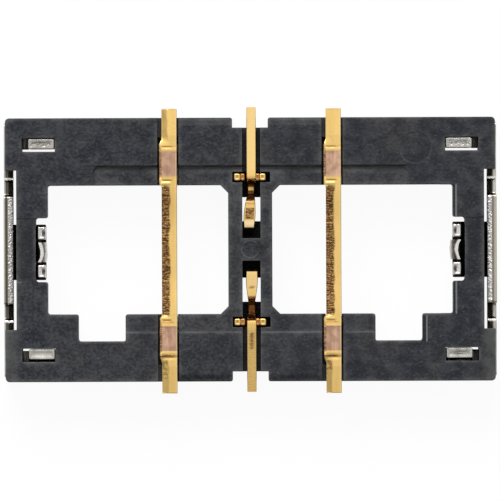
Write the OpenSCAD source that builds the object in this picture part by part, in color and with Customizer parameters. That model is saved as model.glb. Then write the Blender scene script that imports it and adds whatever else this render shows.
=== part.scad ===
// Board-mount receptacle for the flexible circuit of a battery, in millimetres.
// It lies on its mating face: z = 0 is that face, +Z points to the solder side,
// X runs along the two windows, and the polarising notches are on the -Y side.

/* [Stack] */
// Height from the mating face to the solder plane
stack_h = 0.62; // [0.58:0.01:0.72]
// How far the solder tails stand proud of the moulding
tail_standoff = 0.03; // [0.02:0.005:0.05]
// How far the solder tails reach past the long sides
tail_reach = 0.09; // [0.05:0.005:0.15]

/* [Moulding] */
// Length of the moulding
housing_l = 4.18; // [4.14:0.01:4.4]
// Width of the moulding
housing_w = 2.25; // [2.22:0.01:2.5]
// Plan radius of the moulding's corners
corner_r = 0.035; // [0.015:0.005:0.06]
// Radius of the inside corners of windows and recesses
inside_r = 0.02; // [0.01:0.005:0.03]
// Width of the bar between the windows
bar_w = 0.376; // [0.36:0.004:0.42]
// Thickness of the end walls, from the window to the outer face
end_wall_t = 0.264; // [0.24:0.002:0.34]
// Width of both windows
window_w = 1.1; // [1.06:0.004:1.12]
// Chamfer of the window corners beside the centre bar
window_chamfer = 0.066; // [0.03:0.002:0.09]
// Distance of each polarising notch from the window's end
key_inset = 0.263; // [0.15:0.001:0.3]
// Width of each polarising notch
key_w = 0.402; // [0.3:0.002:0.44]
// Depth of each polarising notch
key_d = 0.232; // [0.1:0.002:0.26]
// How far the shallow recess round the windows stops short of their ends
ledge_inset = 0.39; // [0.3:0.01:0.5]
// Width of the recess beside each window
ledge_w = 0.155; // [0.1:0.005:0.25]
// Depth of the recess
ledge_step = 0.03; // [0.01:0.005:0.05]
// Width of the chamfer on the long edges, between the tails
edge_chamfer_w = 0.06; // [0.03:0.005:0.08]
// Drop of that chamfer
edge_chamfer_h = 0.03; // [0.02:0.005:0.05]
// Width of the slope at the outer end of each corner
end_slope_w = 0.09; // [0.04:0.01:0.09]
// Drop of that slope
end_slope_h = 0.015; // [0.005:0.005:0.03]
// Depth of the saddle in each end wall, over the fitting's bridge
saddle_d = 0.012; // [0.005:0.001:0.02]
// Depth of the faint step round the notched ends of the windows
key_step_d = 0.008; // [0.004:0.001:0.015]
// Distance of that step from the bottom of the notches
key_step_gap = 0.04; // [0.02:0.005:0.05]
// How far that step runs into the end walls
key_step_reach = 0.126; // [0.08:0.002:0.16]
// Diameter of the round ejector marks
ejector_d = 0.27; // [0.2:0.01:0.3]
// Depth of those marks
ejector_depth = 0.006; // [0.003:0.001:0.01]
// Distance of an ejector mark's middle from the window's end
ejector_inset = 0.32; // [0.28:0.01:0.36]
// Distance of its middle from the long side
ejector_side = 0.26; // [0.2:0.01:0.27]

/* [Mating side] */
// Thickness of the rim outside the plug cavity
rim_t = 0.37; // [0.33:0.005:0.42]
// How far the plug cavity stops short of the corner legs
cavity_inset = 0.04; // [0.02:0.005:0.1]
// Depth of the cavity beside the centre bar
cavity_d = 0.16; // [0.1:0.01:0.2]
// How far the centre bar lies below the mating face
bar_drop = 0.05; // [0.03:0.005:0.06]
// Size of the lead-in slope along the cavity
lead_in = 0.045; // [0.02:0.005:0.05]

/* [Power terminals] */
// Distance between the two power terminals
power_pitch = 1.4; // [1.36:0.01:1.46]
// Sheet thickness of the power terminals
power_t = 0.13; // [0.1:0.005:0.15]
// Gap on each side of a power terminal in its slot
slot_gap = 0.025; // [0.022:0.001:0.04]
// How far the power terminals lean towards +X in their slots
power_play_x = 0.011; // [0:0.001:0.014]
// How far they lean towards -Y
power_play_y = 0.012; // [0:0.001:0.02]
// How far a power terminal swells sideways beside its cut faces
swell = 0.017; // [0.005:0.001:0.02]
// How far the swelling runs past a cut face
swell_margin = 0.09; // [0.06:0.005:0.1]
// Height of a power tail
power_tail_h = 0.09; // [0.07:0.005:0.11]
// Height of the bar that crosses the window
power_bar_h = 0.12; // [0.1:0.005:0.14]
// How far that bar lies below the solder plane
power_bar_recess = 0.03; // [0.02:0.005:0.05]
// Length of the cut face where the carrier strip was parted
cut_face_l = 0.205; // [0.15:0.005:0.21]
// Distance of the cut face from the window's edge
cut_face_offset = 0.08; // [0.07:0.005:0.1]
// How far the cut face lies below the solder plane
cut_face_recess = 0.018; // [0.01:0.002:0.02]
// Depth of the fold lines beside the cut face
crease_d = 0.01; // [0.005:0.001:0.012]
// Width of a spring arm
arm_w = 0.1; // [0.07:0.005:0.11]
// Distance of a spring arm from the window's edge
arm_inset = 0.03; // [0.02:0.005:0.04]
// How far the contact stands out from its arm
contact_reach = 0.05; // [0.03:0.005:0.07]
// Height of the arm's end above the mating face
arm_tip_z = 0.06; // [0.04:0.005:0.08]
// Room behind a spring arm
arm_play = 0.045; // [0.02:0.005:0.05]
// Width of a holding post
post_w = 0.1; // [0.08:0.005:0.11]
// Height of the post's end above the mating face
post_tip_z = 0.15; // [0.12:0.01:0.2]
// Reach of the barbs on a post
post_barb = 0.01; // [0.006:0.001:0.012]

/* [Signal terminals] */
// How far the signal terminals and their slots sit to the right of the middle
signal_shift = 0.01; // [0:0.001:0.014]
// Width of the signal strip
signal_w = 0.08; // [0.06:0.005:0.09]
// Sheet thickness of the signal strip
signal_t = 0.06; // [0.05:0.005:0.065]
// Distance of the upright plate from the centre line
plate_y = 0.618; // [0.605:0.001:0.625]
// Width across the wings of the upright plate
wing_w = 0.27; // [0.24:0.005:0.29]
// Height of the wings' lower edge above the mating face
wing_z = 0.28; // [0.24:0.01:0.32]
// How far the wings' upper edge lies below the solder plane
wing_recess = 0.03; // [0.02:0.005:0.04]
// Gap round the upright plate in its slot
plate_gap = 0.014; // [0.006:0.001:0.018]
// Gap beside the wings, which the barbs take up
wing_gap = 0.026; // [0.015:0.001:0.03]
// Distance of the crown from the upright plate
crown_gap = 0.143; // [0.13:0.001:0.15]
// Length of the crown over its bends
crown_l = 0.26; // [0.25:0.002:0.27]
// Width of the strip where the crown is coined
crown_w = 0.1; // [0.09:0.002:0.11]
// Width of the strip in the bend before the crown
neck_w = 0.066; // [0.05:0.002:0.08]
// How far the crown lies below the solder plane
crown_recess = 0.1; // [0.08:0.005:0.14]
// Height of the lower bends above the mating face
bend_z = 0.105; // [0.1:0.001:0.12]
// Gap on each side of the strip in its well
well_gap = 0.037; // [0.02:0.001:0.04]
// Room in the well past the crown
well_end_gap = 0.089; // [0.07:0.001:0.1]
// Floor of the well above the mating face
well_floor_z = 0.09; // [0.085:0.001:0.095]
// Length of the opening through the well's floor
contact_opening_l = 0.205; // [0.18:0.005:0.22]
// Distance of that opening from the upright plate
contact_opening_gap = 0.141; // [0.13:0.001:0.15]
// Width of the channel round a signal tail
channel_w = 0.155; // [0.13:0.005:0.18]
// Depth of that channel
channel_d = 0.1; // [0.07:0.005:0.14]
// Width of the notch where a signal tail leaves the moulding
tail_notch_w = 0.305; // [0.24:0.005:0.36]
// Depth of that notch
tail_notch_d = 0.085; // [0.05:0.005:0.1]

/* [End fittings] */
// Sheet thickness of the end fittings
fitting_t = 0.078; // [0.06:0.001:0.08]
// Inside radius of the folds
fold_r = 0.026; // [0.015:0.001:0.028]
// How far the fittings stand proud of the moulding's ends
fitting_proud = 0.012; // [0.004:0.002:0.04]
// Gap between a fitting's outer wall and the end wall
end_gap = 0.029; // [0.028:0.001:0.06]
// Width of the outer wall's middle tab
tab_w = 0.93; // [0.8:0.01:1.0]
// How far the tab's edge lies below the solder plane
tab_recess = 0.02; // [0.01:0.005:0.04]
// Width of the notches beside the tab
tab_notch_w = 0.128; // [0.08:0.004:0.14]
// Height of those notches above the mating face
tab_notch_z = 0.3; // [0.26:0.01:0.34]
// Height of the outer wall's shoulders
shoulder_z = 0.4; // [0.36:0.01:0.44]
// How far the shoulders stop short of the long sides
shoulder_inset = 0.04; // [0.02:0.005:0.06]
// Width of the recess for the fitting in the end wall
end_recess_w = 1.36; // [1.3:0.01:1.4]
// Width of the bridge over the end wall
bridge_w = 0.48; // [0.44:0.01:0.5]
// Gap at each side of the bridge in the fingers' pocket
pocket_side_gap = 0.033; // [0.02:0.001:0.05]
// Depth of that pocket behind the window
finger_pocket_d = 0.1; // [0.096:0.002:0.12]
// Gap between the fingers and the pocket
finger_gap = 0.01; // [0.005:0.001:0.015]
// Width over the three fingers
finger_span = 0.44; // [0.4:0.01:0.44]
// Width of the middle finger
middle_finger_w = 0.18; // [0.14:0.01:0.2]
// Slit between two fingers
finger_slit = 0.03; // [0.02:0.002:0.04]
// How far the fingers' ends lie below the solder plane
finger_recess = 0.11; // [0.06:0.01:0.16]
// How far the middle finger bulges into the window
finger_bulge = 0.03; // [0.02:0.002:0.04]
// Width of a corner leg
leg_w = 0.222; // [0.18:0.002:0.24]
// Distance of a leg's inner edge from the window's end
leg_offset = 0.061; // [0.04:0.001:0.07]
// Distance of a leg's middle from the long side
leg_inset = 0.228; // [0.22:0.001:0.24]
// How far a leg's end lies below the solder plane
leg_recess = 0.04; // [0.03:0.005:0.06]
// Gap on each flat side of a leg in its slot
leg_gap = 0.018; // [0.015:0.001:0.024]
// Gap at the outer end of a leg's slot
leg_end_gap = 0.055; // [0.03:0.005:0.06]

/* [Hidden] */

// Small running gap where a piece drops into the moulding
fit = 0.005;
// Overshoot of cuts past the faces that they open
over = 0.1;
// Angle of one step along a drawn arc
arc_step = 15;

housing_h = stack_h - tail_standoff;
half_l = housing_l / 2;
half_w = housing_w / 2;
fitting_out = half_l + fitting_proud;
fitting_in = fitting_out - fitting_t;
fitting_mid = fitting_out - fitting_t / 2;
end_face = fitting_in - end_gap;
window_in = bar_w / 2;
window_out = end_face - end_wall_t;
window_y = window_w / 2;
key_out = window_out - key_inset;
key_in = key_out - key_w;
key_y = -window_y - key_d;
pocket_y = bridge_w / 2 + pocket_side_gap;
power_x = power_pitch / 2;

power_tip = half_w + tail_reach;
power_bar_top = stack_h - power_bar_recess;
power_bar_low = power_bar_top - power_bar_h;
power_tail_low = stack_h - power_tail_h;
cut_face_in = window_y + cut_face_offset;
cut_face_out = cut_face_in + cut_face_l;
cut_face_z = stack_h - cut_face_recess;
crease_l = 0.02;
crease_r = crease_l / 4;
tail_r = 0.015;
edge_r = 0.01;
swell_ramp = 0.03;
swell_in = cut_face_in - swell_margin;
swell_out = cut_face_out + swell_margin;
arm_in = window_y + arm_inset;
arm_out = arm_in + arm_w;
contact_rise = 0.09;
contact_slope = 0.06;
contact_z = arm_tip_z + contact_rise;
arm_r = 0.03;
tip_r = 0.02;
post_in = cut_face_out + crease_l;
post_out = post_in + post_w;
post_gap = post_barb + fit;
barb_h = 0.05;
slot_w = power_t + 2 * slot_gap;

plate_in = plate_y - signal_t / 2;
plate_out = plate_y + signal_t / 2;
wing_top = stack_h - wing_recess;
crown_out = plate_in - crown_gap;
crown_in = crown_out - crown_l;
crown_z = stack_h - crown_recess;
well_w = signal_w + 2 * well_gap;
well_y = crown_in - well_end_gap;
contact_opening_out = plate_in - contact_opening_gap;
contact_opening_in = contact_opening_out - contact_opening_l;
bend_r = signal_t / 2 + 0.02;
crown_r = 1.5 * bend_r;
wing_barb_z = wing_z + 0.08;

fold_mid_r = fold_r + fitting_t / 2;
fold_z = fitting_t + fold_r;
shoulder_y = half_w - shoulder_inset;
pocket_x = window_out + finger_pocket_d;
finger_mid = pocket_x - finger_gap - fitting_t / 2;
finger_top = stack_h - finger_recess;
finger_root = fold_z + finger_slit;
finger_t = 0.8 * fitting_t;
leg_x0 = window_out - leg_offset;
leg_x1 = leg_x0 + leg_w;
leg_y = half_w - leg_inset;
leg_in = leg_y - fitting_t / 2;
leg_out = leg_y + fitting_t / 2;
leg_top = stack_h - leg_recess;

moulding_black = [0.19, 0.19, 0.21];
gold_plate = [0.9, 0.73, 0.38];
bright_steel = [0.76, 0.75, 0.72];

function unit(v) = v / norm(v);
function left_of(v) = [-v.y, v.x];
function spot(c) = [c.x, c.y];
function backwards(list) = [for (i = [len(list) - 1 : -1 : 0]) list[i]];

// Points of the arc of radius r that rounds corner q between its neighbours p and n
function corner_arc(p, q, n, r) = r <= 0 ? [q] :
    let (
        a = unit(p - q),
        b = unit(n - q),
        half = acos(a * b) / 2,
        middle = q + unit(a + b) * r / sin(half),
        start = q + a * r / tan(half) - middle,
        from = atan2(start.y, start.x),
        turn = (180 - 2 * half) * sign(cross(q - p, n - q)),
        steps = max(1, ceil(abs(turn) / arc_step))
    )
    [for (i = [0 : steps]) middle + r * [cos(from + turn * i / steps), sin(from + turn * i / steps)]];

// Closed outline through corners [x, y, radius]
function rounded(corners) = let (n = len(corners))
    [for (i = [0 : n - 1])
        each corner_arc(spot(corners[(i + n - 1) % n]), spot(corners[i]),
            spot(corners[(i + 1) % n]), corners[i][2])];

// Corner i of an open path of [x, y, radius], moved by d to the left of the path
function side_corner(path, i, d) =
    let (
        q = spot(path[i]),
        first = i == 0,
        last = i == len(path) - 1,
        u = first ? unit(spot(path[1]) - q) : unit(q - spot(path[i - 1])),
        v = last ? u : unit(spot(path[i + 1]) - q),
        p = q + (left_of(u) + left_of(v)) * d / (1 + u * v)
    )
    [p.x, p.y, first || last ? 0 : path[i][2] - d * sign(cross(u, v))];

// Closed outline of a bent strip of thickness t whose middle follows the path
function strip(path, t) = rounded(concat(
    [for (i = [0 : len(path) - 1]) side_corner(path, i, t / 2)],
    [for (i = [len(path) - 1 : -1 : 0]) side_corner(path, i, -t / 2)]));

// Outline symmetric about the vertical axis, from the corners of its right half
function both_halves(corners) = concat(corners,
    [for (c = backwards(corners)) len(c) > 2 ? [-c.x, c.y, c[2]] : [-c.x, c.y]]);

// Gives a profile drawn in (y, z) a width along X
module along_x(x0, x1) {
    translate([x0, 0, 0])
        rotate([90, 0, 90])
            linear_extrude(x1 - x0)
                children();
}

// Gives a profile drawn in (x, z) a width along Y
module along_y(y0, y1) {
    translate([0, y1, 0])
        rotate([90, 0, 0])
            linear_extrude(y1 - y0)
                children();
}

// Box between two opposite corners
module block(low, high) {
    translate(low)
        cube(high - low);
}

// Repeats its children turned half round about the vertical axis
module both_ends() {
    for (turn = [0, 180])
        rotate([0, 0, turn])
            children();
}

// Repeats its children mirrored to the other long side
module both_sides() {
    for (flip = [0, 1])
        mirror([0, flip, 0])
            children();
}

// Plan of the moulding with the notches where the signal tails leave it
module moulding_plan() {
    notch_x = tail_notch_w / 2;
    notch_y = half_w - tail_notch_d;
    edge = [[notch_x, notch_y, 0], [notch_x, half_w, corner_r / 2], [half_l, half_w, corner_r]];
    right = concat([for (c = edge) [c.x, -c.y, c[2]]], backwards(edge));
    polygon(rounded(concat(right, [for (c = right) [-c.x, -c.y, c[2]]])));
}

// Right-hand window with its chamfers, finger pocket and polarising notch
module window_plan() {
    polygon(rounded([
        [window_in + window_chamfer, -window_y, 0],
        [key_in, -window_y, inside_r],
        [key_in, key_y, inside_r],
        [key_out, key_y, inside_r],
        [key_out, -window_y, inside_r],
        [window_out, -window_y, inside_r],
        [window_out, -pocket_y, inside_r],
        [pocket_x, -pocket_y, inside_r],
        [pocket_x, pocket_y, inside_r],
        [window_out, pocket_y, inside_r],
        [window_out, window_y, inside_r],
        [window_in + window_chamfer, window_y, 0],
        [window_in, window_y - window_chamfer, 0],
        [window_in, -window_y + window_chamfer, 0]
    ]));
}

// Shallow recess on the solder side round both windows
module ledge_recess() {
    x = window_out - ledge_inset;
    y = window_y + ledge_w;
    r = 2 * inside_r;
    translate([0, 0, housing_h - ledge_step])
        linear_extrude(ledge_step + over)
            polygon(rounded([[x, -y, r], [x, y, r], [-x, y, r], [-x, -y, r]]));
}

// Chamfer on a long edge between a signal tail and a power tail
module edge_chamfer() {
    along_x(tail_notch_w / 2, power_x - slot_w / 2)
        polygon([
            [half_w - edge_chamfer_w, housing_h],
            [half_w + over, housing_h - edge_chamfer_h * (1 + over / edge_chamfer_w)],
            [half_w + over, housing_h + over],
            [half_w - edge_chamfer_w, housing_h + over]
        ]);
}

// Slope at the outer end of the right-hand corners
module end_slope() {
    along_y(-half_w - over, half_w + over)
        polygon([
            [half_l - end_slope_w, housing_h],
            [half_l + over, housing_h - end_slope_h * (1 + over / end_slope_w)],
            [half_l + over, housing_h + over],
            [half_l - end_slope_w, housing_h + over]
        ]);
}

// Shallow marks on the right-hand half: saddle, step round the notched end and ejector mark
module right_marks() {
    top = housing_h + over;
    block([window_out - over, -pocket_y, housing_h - saddle_d], [half_l + over, pocket_y, top]);
    block([power_x + slot_w / 2, key_y - key_step_gap, housing_h - key_step_d],
        [window_out + key_step_reach, -pocket_y, top]);
    translate([window_out - ejector_inset, half_w - ejector_side, housing_h - ejector_depth])
        cylinder(d = ejector_d, h = over, $fn = 48);
}

// Plug cavity on the mating side, deeper on each side of the centre bar
module plug_cavity() {
    x = leg_x0 - cavity_inset;
    y = half_w - rim_t;
    mouth_y = y + lead_in + over;
    along_x(-x, x)
        polygon(both_halves([[mouth_y, -over], [y, lead_in], [y, bar_drop]]));
    both_ends()
        block([window_in, -y, 0], [x, y, cavity_d]);
}

// Slot of a power terminal in one long wall, with the passage for its arm and the pocket for its post
module power_slot() {
    top = housing_h + over;
    snug = power_t / 2 + fit;
    along_x(-slot_w / 2, slot_w / 2)
        polygon([
            [window_y - over, power_bar_low],
            [post_out + post_gap, power_bar_low],
            [post_out + post_gap, power_tail_low],
            [half_w + over, power_tail_low],
            [half_w + over, top],
            [window_y - over, top]
        ]);
    translate([power_play_x, 0, 0]) {
        block([-snug, window_y - over, -over], [snug, arm_out + arm_play, power_bar_low + fit]);
        block([-snug, post_in - post_gap, post_tip_z - fit],
            [snug, post_out + post_gap, power_bar_low + fit]);
    }
}

// Channel, wing slot and well of the signal terminal on the +Y side
module signal_slot() {
    top = housing_h + over;
    far = plate_out + plate_gap;
    wing_x = wing_w / 2 + wing_gap;
    block([-channel_w / 2, plate_y, housing_h - channel_d], [channel_w / 2, half_w + over, top]);
    block([-wing_x, plate_in - plate_gap, wing_z], [wing_x, far, top]);
    block([-well_w / 2, well_y, well_floor_z], [well_w / 2, far, top]);
    block([-well_w / 2, contact_opening_in, -over],
        [well_w / 2, contact_opening_out, top]);
}

// Room for an end fitting on the right-hand end wall
module fitting_room() {
    y = end_recess_w / 2;
    bridge_y = bridge_w / 2 + 2 * fit;
    ramp = fold_r + fit;
    block([end_face, -y, -over], [half_l + over, y, housing_h + over]);
    block([end_face, -half_w - over, -over], [half_l + over, half_w + over, shoulder_z + 2 * fit]);
    along_y(-bridge_y, bridge_y)
        polygon([
            [window_out - over, -over],
            [end_face + over, -over],
            [end_face + over, fitting_t],
            [pocket_x + ramp, fitting_t],
            [pocket_x, fitting_t + ramp],
            [window_out - over, fitting_t + ramp]
        ]);
    both_sides() {
        block([leg_x0 - 2 * fit, leg_in - fit, -over], [half_l + over, half_w + over, fitting_t]);
        block([leg_x0 - fit, leg_in - leg_gap, -over],
            [leg_x1 + leg_end_gap, leg_out + leg_gap, housing_h + over]);
        along_x(leg_x0 - 2 * fit, leg_x1 + leg_end_gap)
            polygon([
                [leg_out, fitting_t - fit],
                [leg_out + leg_gap + ramp, fitting_t - fit],
                [leg_out + leg_gap + ramp, fitting_t],
                [leg_out + leg_gap, fitting_t + ramp],
                [leg_out, fitting_t + ramp]
            ]);
    }
}

module housing() {
    color(moulding_black)
        difference() {
            linear_extrude(housing_h)
                moulding_plan();
            for (flip = [0, 1])
                mirror([flip, 0, 0])
                    translate([0, 0, -over])
                        linear_extrude(housing_h + 2 * over)
                            window_plan();
            ledge_recess();
            for (flip = [0, 1])
                mirror([flip, 0, 0]) {
                    both_sides()
                        edge_chamfer();
                    end_slope();
                    right_marks();
                }
            plug_cavity();
            for (side = [-1, 1])
                translate([side * power_x, -power_play_y, 0])
                    both_sides()
                        power_slot();
            translate([signal_shift, 0, 0])
                both_ends()
                    signal_slot();
            both_ends()
                fitting_room();
        }
}

// Right half of the blanked outline of a power terminal, from its underside to its top
function power_half() =
    let (
        post_mid = (post_tip_z + power_bar_low) / 2,
        taper = post_w / 4,
        crest = cut_face_z + crease_d,
        shoulder = power_bar_top + crease_d
    )
    [
        [arm_in, power_bar_low, arm_r],
        [arm_in, contact_z + contact_slope, arm_r],
        [arm_in - contact_reach, contact_z, arm_r],
        [arm_in + arm_w / 4, arm_tip_z, tip_r],
        [arm_out, arm_tip_z, tip_r],
        [arm_out, power_bar_low, tip_r],
        [post_in, power_bar_low, 0],
        [post_in, post_mid + barb_h, 0],
        [post_in - post_barb, post_mid + barb_h, 0],
        [post_in, post_mid, 0],
        [post_in, post_tip_z + taper, 0],
        [post_in + taper, post_tip_z, 0],
        [post_out - taper, post_tip_z, 0],
        [post_out, post_tip_z + taper, 0],
        [post_out, post_mid, 0],
        [post_out + post_barb, post_mid + barb_h, 0],
        [post_out, post_mid + barb_h, 0],
        [post_out, power_tail_low, 0],
        [power_tip, power_tail_low, 0],
        [power_tip, stack_h, tail_r],
        [cut_face_out + 2.5 * crease_l, stack_h, edge_r],
        [cut_face_out + 2 * crease_l, crest - crease_d / 2, 0],
        [cut_face_out + crease_l, crest, crease_r],
        [cut_face_out, cut_face_z, 0],
        [cut_face_in, cut_face_z, 0],
        [cut_face_in - crease_l, crest, crease_r],
        [cut_face_in - 2 * crease_l, shoulder - crease_d, 0],
        [cut_face_in - 3 * crease_l, shoulder, crease_r],
        [window_y - arm_inset, power_bar_top, edge_r]
    ];

// Swelling on the left flank, squeezed out where the carrier strip was cut off
module power_swell() {
    flank = -power_t / 2;
    translate([0, 0, power_tail_low])
        linear_extrude(power_bar_top - power_tail_low)
            polygon([
                [0, swell_in],
                [0, swell_out],
                [flank, swell_out],
                [flank - swell, swell_out - swell_ramp],
                [flank - swell, swell_in + swell_ramp],
                [flank, swell_in]
            ]);
}

// Blanked plate that stands on edge: tails, cross bar, spring arms and holding posts
module power_terminal() {
    color(gold_plate)
        translate([power_play_x, -power_play_y, 0]) {
            along_x(-power_t / 2, power_t / 2)
                polygon(rounded(both_halves(power_half())));
            both_sides()
                power_swell();
        }
}

module power_terminal_left() {
    translate([-power_x, 0, 0])
        power_terminal();
}

module power_terminal_right() {
    translate([power_x, 0, 0])
        power_terminal();
}

// Plan of the signal strip: even tail, narrow neck and coined crown
module signal_plan() {
    swelling = crown_l / 3;
    polygon(rounded(both_halves([
        [signal_w / 2, crown_in - fit, 0],
        [crown_w / 2, crown_in + swelling, crown_r],
        [crown_w / 2, crown_out - swelling, crown_r],
        [neck_w / 2, crown_out, bend_r],
        [neck_w / 2, plate_in - signal_t / 2, bend_r],
        [signal_w / 2, plate_in, 0],
        [signal_w / 2, half_w + tail_reach, 0]
    ])));
}

// Formed strip: tail, upright plate with barbed wings, lower bend, crown and contact
module signal_terminal() {
    tail_z = stack_h - signal_t / 2;
    low_z = bend_z + signal_t / 2;
    top_z = crown_z - signal_t / 2;
    back = crown_out - signal_t / 2;
    front = crown_in + signal_t / 2;
    path = [
        [half_w + tail_reach, tail_z, 0],
        [plate_y, tail_z, bend_r],
        [plate_y, low_z, bend_r],
        [back + signal_t / 2, low_z, bend_r],
        [back, top_z, crown_r],
        [front, top_z, bend_r],
        [front + crown_l / 5, low_z, bend_r],
        [front + crown_l / 2, low_z + signal_t / 2, 0]
    ];
    barb_x = wing_w / 2 + wing_gap - fit;
    color(gold_plate) {
        intersection() {
            along_x(-crown_w / 2, crown_w / 2)
                polygon(strip(path, signal_t));
            linear_extrude(stack_h)
                signal_plan();
        }
        along_y(plate_in, plate_out)
            polygon(rounded(both_halves([
                [wing_w / 2, wing_z, 0],
                [wing_w / 2, wing_barb_z, 0],
                [barb_x, wing_barb_z + 0.8 * barb_h, 0],
                [wing_w / 2, wing_barb_z + barb_h, 0],
                [wing_w / 2, wing_top, edge_r]
            ])));
    }
}

module signal_terminal_back() {
    translate([signal_shift, 0, 0])
        signal_terminal();
}

module signal_terminal_front() {
    translate([signal_shift, 0, 0])
        rotate([0, 0, 180])
            signal_terminal();
}

// Outer wall of the fitting: middle tab, notches beside it and low shoulders
module fitting_wall() {
    tab_y = tab_w / 2;
    notch_y = tab_y + tab_notch_w;
    tab_z = stack_h - tab_recess;
    along_x(fitting_in, fitting_out)
        polygon(rounded(both_halves([
            [shoulder_y, fold_z, 0],
            [shoulder_y, shoulder_z, fold_r],
            [notch_y, shoulder_z, edge_r],
            [notch_y, tab_notch_z, tip_r],
            [tab_y, tab_notch_z, tip_r],
            [tab_y, tab_z, tip_r]
        ])));
}

// Folded strip from the outer wall under the moulding, drawn in (x, z)
module wall_fold(reach) {
    polygon(strip([
        [fitting_mid, fold_z + fitting_t, 0],
        [fitting_mid, fitting_t / 2, fold_mid_r],
        [reach, fitting_t / 2, 0]
    ], fitting_t));
}

// Bridge over the end wall and the flange that its fingers are slit from
module bridge() {
    half_finger = middle_finger_w / 2;
    difference() {
        along_y(-bridge_w / 2, bridge_w / 2)
            polygon(strip([
                [fitting_mid, fold_z + fitting_t, 0],
                [fitting_mid, fitting_t / 2, fold_mid_r],
                [finger_mid, fitting_t / 2, fold_mid_r],
                [finger_mid, finger_top, 0]
            ], fitting_t));
        block([finger_mid - fitting_t, -half_finger - finger_slit, finger_root],
            [finger_mid + fitting_t, half_finger + finger_slit, finger_top + over]);
        both_sides()
            block([finger_mid - fitting_t, finger_span / 2, finger_root],
                [finger_mid + fitting_t, bridge_w / 2 + over, finger_top + over]);
    }
}

// Middle finger, bulged into the window over most of its width
module middle_finger() {
    half = middle_finger_w / 2;
    face = finger_mid + (fitting_t - finger_t) / 2;
    path = [
        [face, -half, 0],
        [face - finger_bulge / 4, -0.8 * half, finger_t],
        [face - finger_bulge, -0.4 * half, finger_t],
        [face - finger_bulge, 0.4 * half, finger_t],
        [face - finger_bulge / 4, 0.8 * half, finger_t],
        [face, half, 0]
    ];
    translate([0, 0, fold_z])
        linear_extrude(finger_top - fold_z)
            polygon(strip(path, finger_t));
}

// Corner plate under the moulding and the leg folded up from it
module corner_leg() {
    leg_fold = leg_out + fold_r;
    along_y(leg_fold, shoulder_y)
        wall_fold(leg_x0);
    along_y(leg_in, leg_fold)
        wall_fold(leg_x1 + fit);
    along_x(leg_x0, leg_x1)
        polygon(strip([
            [shoulder_y, fitting_t / 2, 0],
            [leg_y, fitting_t / 2, fold_mid_r],
            [leg_y, leg_top, 0]
        ], fitting_t));
}

// Folded sheet clip on one end of the moulding
module end_fitting() {
    color(bright_steel) {
        fitting_wall();
        bridge();
        middle_finger();
        both_sides()
            corner_leg();
    }
}

module end_fitting_left() {
    rotate([0, 0, 180])
        end_fitting();
}

module end_fitting_right() {
    end_fitting();
}

housing();
power_terminal_left();
power_terminal_right();
signal_terminal_back();
signal_terminal_front();
end_fitting_left();
end_fitting_right();
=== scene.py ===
# %% [markdown]
# # A phone battery connector, seen from its solder side
# The part is a receptacle 4.2 mm long: a black moulded frame, two gold blades, two gold strips and two
# silver end clips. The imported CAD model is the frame: it gives the outlines, places and outer sizes, and
# each new piece is worked out from it. The finer marks, such as folds, scrapes and stains, have lengths
# that were measured on the photograph.

# %% Load the frame
import math

import bpy
import numpy as np
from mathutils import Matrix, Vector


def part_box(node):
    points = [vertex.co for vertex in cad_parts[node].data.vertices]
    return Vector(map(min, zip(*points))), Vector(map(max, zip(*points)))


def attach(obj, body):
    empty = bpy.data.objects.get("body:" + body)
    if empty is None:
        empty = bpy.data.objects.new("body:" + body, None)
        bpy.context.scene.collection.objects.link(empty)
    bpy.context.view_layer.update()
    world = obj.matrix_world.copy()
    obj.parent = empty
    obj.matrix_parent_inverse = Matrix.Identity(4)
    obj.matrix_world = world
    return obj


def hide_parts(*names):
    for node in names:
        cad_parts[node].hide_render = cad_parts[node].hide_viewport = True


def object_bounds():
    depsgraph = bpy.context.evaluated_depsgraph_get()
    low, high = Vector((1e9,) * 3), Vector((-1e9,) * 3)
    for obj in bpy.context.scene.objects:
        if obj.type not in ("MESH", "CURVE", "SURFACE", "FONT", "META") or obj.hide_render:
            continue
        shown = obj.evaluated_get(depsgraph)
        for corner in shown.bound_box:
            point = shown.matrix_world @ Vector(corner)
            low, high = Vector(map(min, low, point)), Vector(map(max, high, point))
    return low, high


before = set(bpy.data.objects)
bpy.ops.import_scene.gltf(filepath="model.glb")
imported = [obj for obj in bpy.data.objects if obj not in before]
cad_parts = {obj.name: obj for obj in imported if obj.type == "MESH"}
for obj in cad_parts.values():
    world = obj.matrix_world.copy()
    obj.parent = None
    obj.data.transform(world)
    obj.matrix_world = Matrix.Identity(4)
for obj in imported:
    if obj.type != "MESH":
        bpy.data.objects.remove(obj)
cad_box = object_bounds()
MM = 0.001
scene = bpy.context.scene
scene.view_settings.view_transform = "Standard"


def mm(*lengths):
    """One or several lengths in millimetres, given in metres."""
    metres = tuple(length * MM for length in lengths)
    return metres if len(metres) > 1 else metres[0]


def box_size(box):
    """The lengths of a box's sides in millimetres."""
    return [round((high - low) / MM, 3) for low, high in zip(*box)]


print("frame:", sorted(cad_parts), "box in mm:", box_size(cad_box))

# %% [markdown]
# ## The camera
# The photograph looks straight down from so far away that the walls of the windows hardly show. A long
# lens high above the part does the same. The part lies a fifth of a degree askew in the picture, and
# turning the camera the other way round gives that.

# %% Camera
VIEW_WIDTH = mm(4.262)
VIEW_DISTANCE = mm(120)
VIEW_MIDDLE = mm(-0.0026, -0.0045)
PART_TURN = math.radians(0.21)
SENSOR = 36

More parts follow.
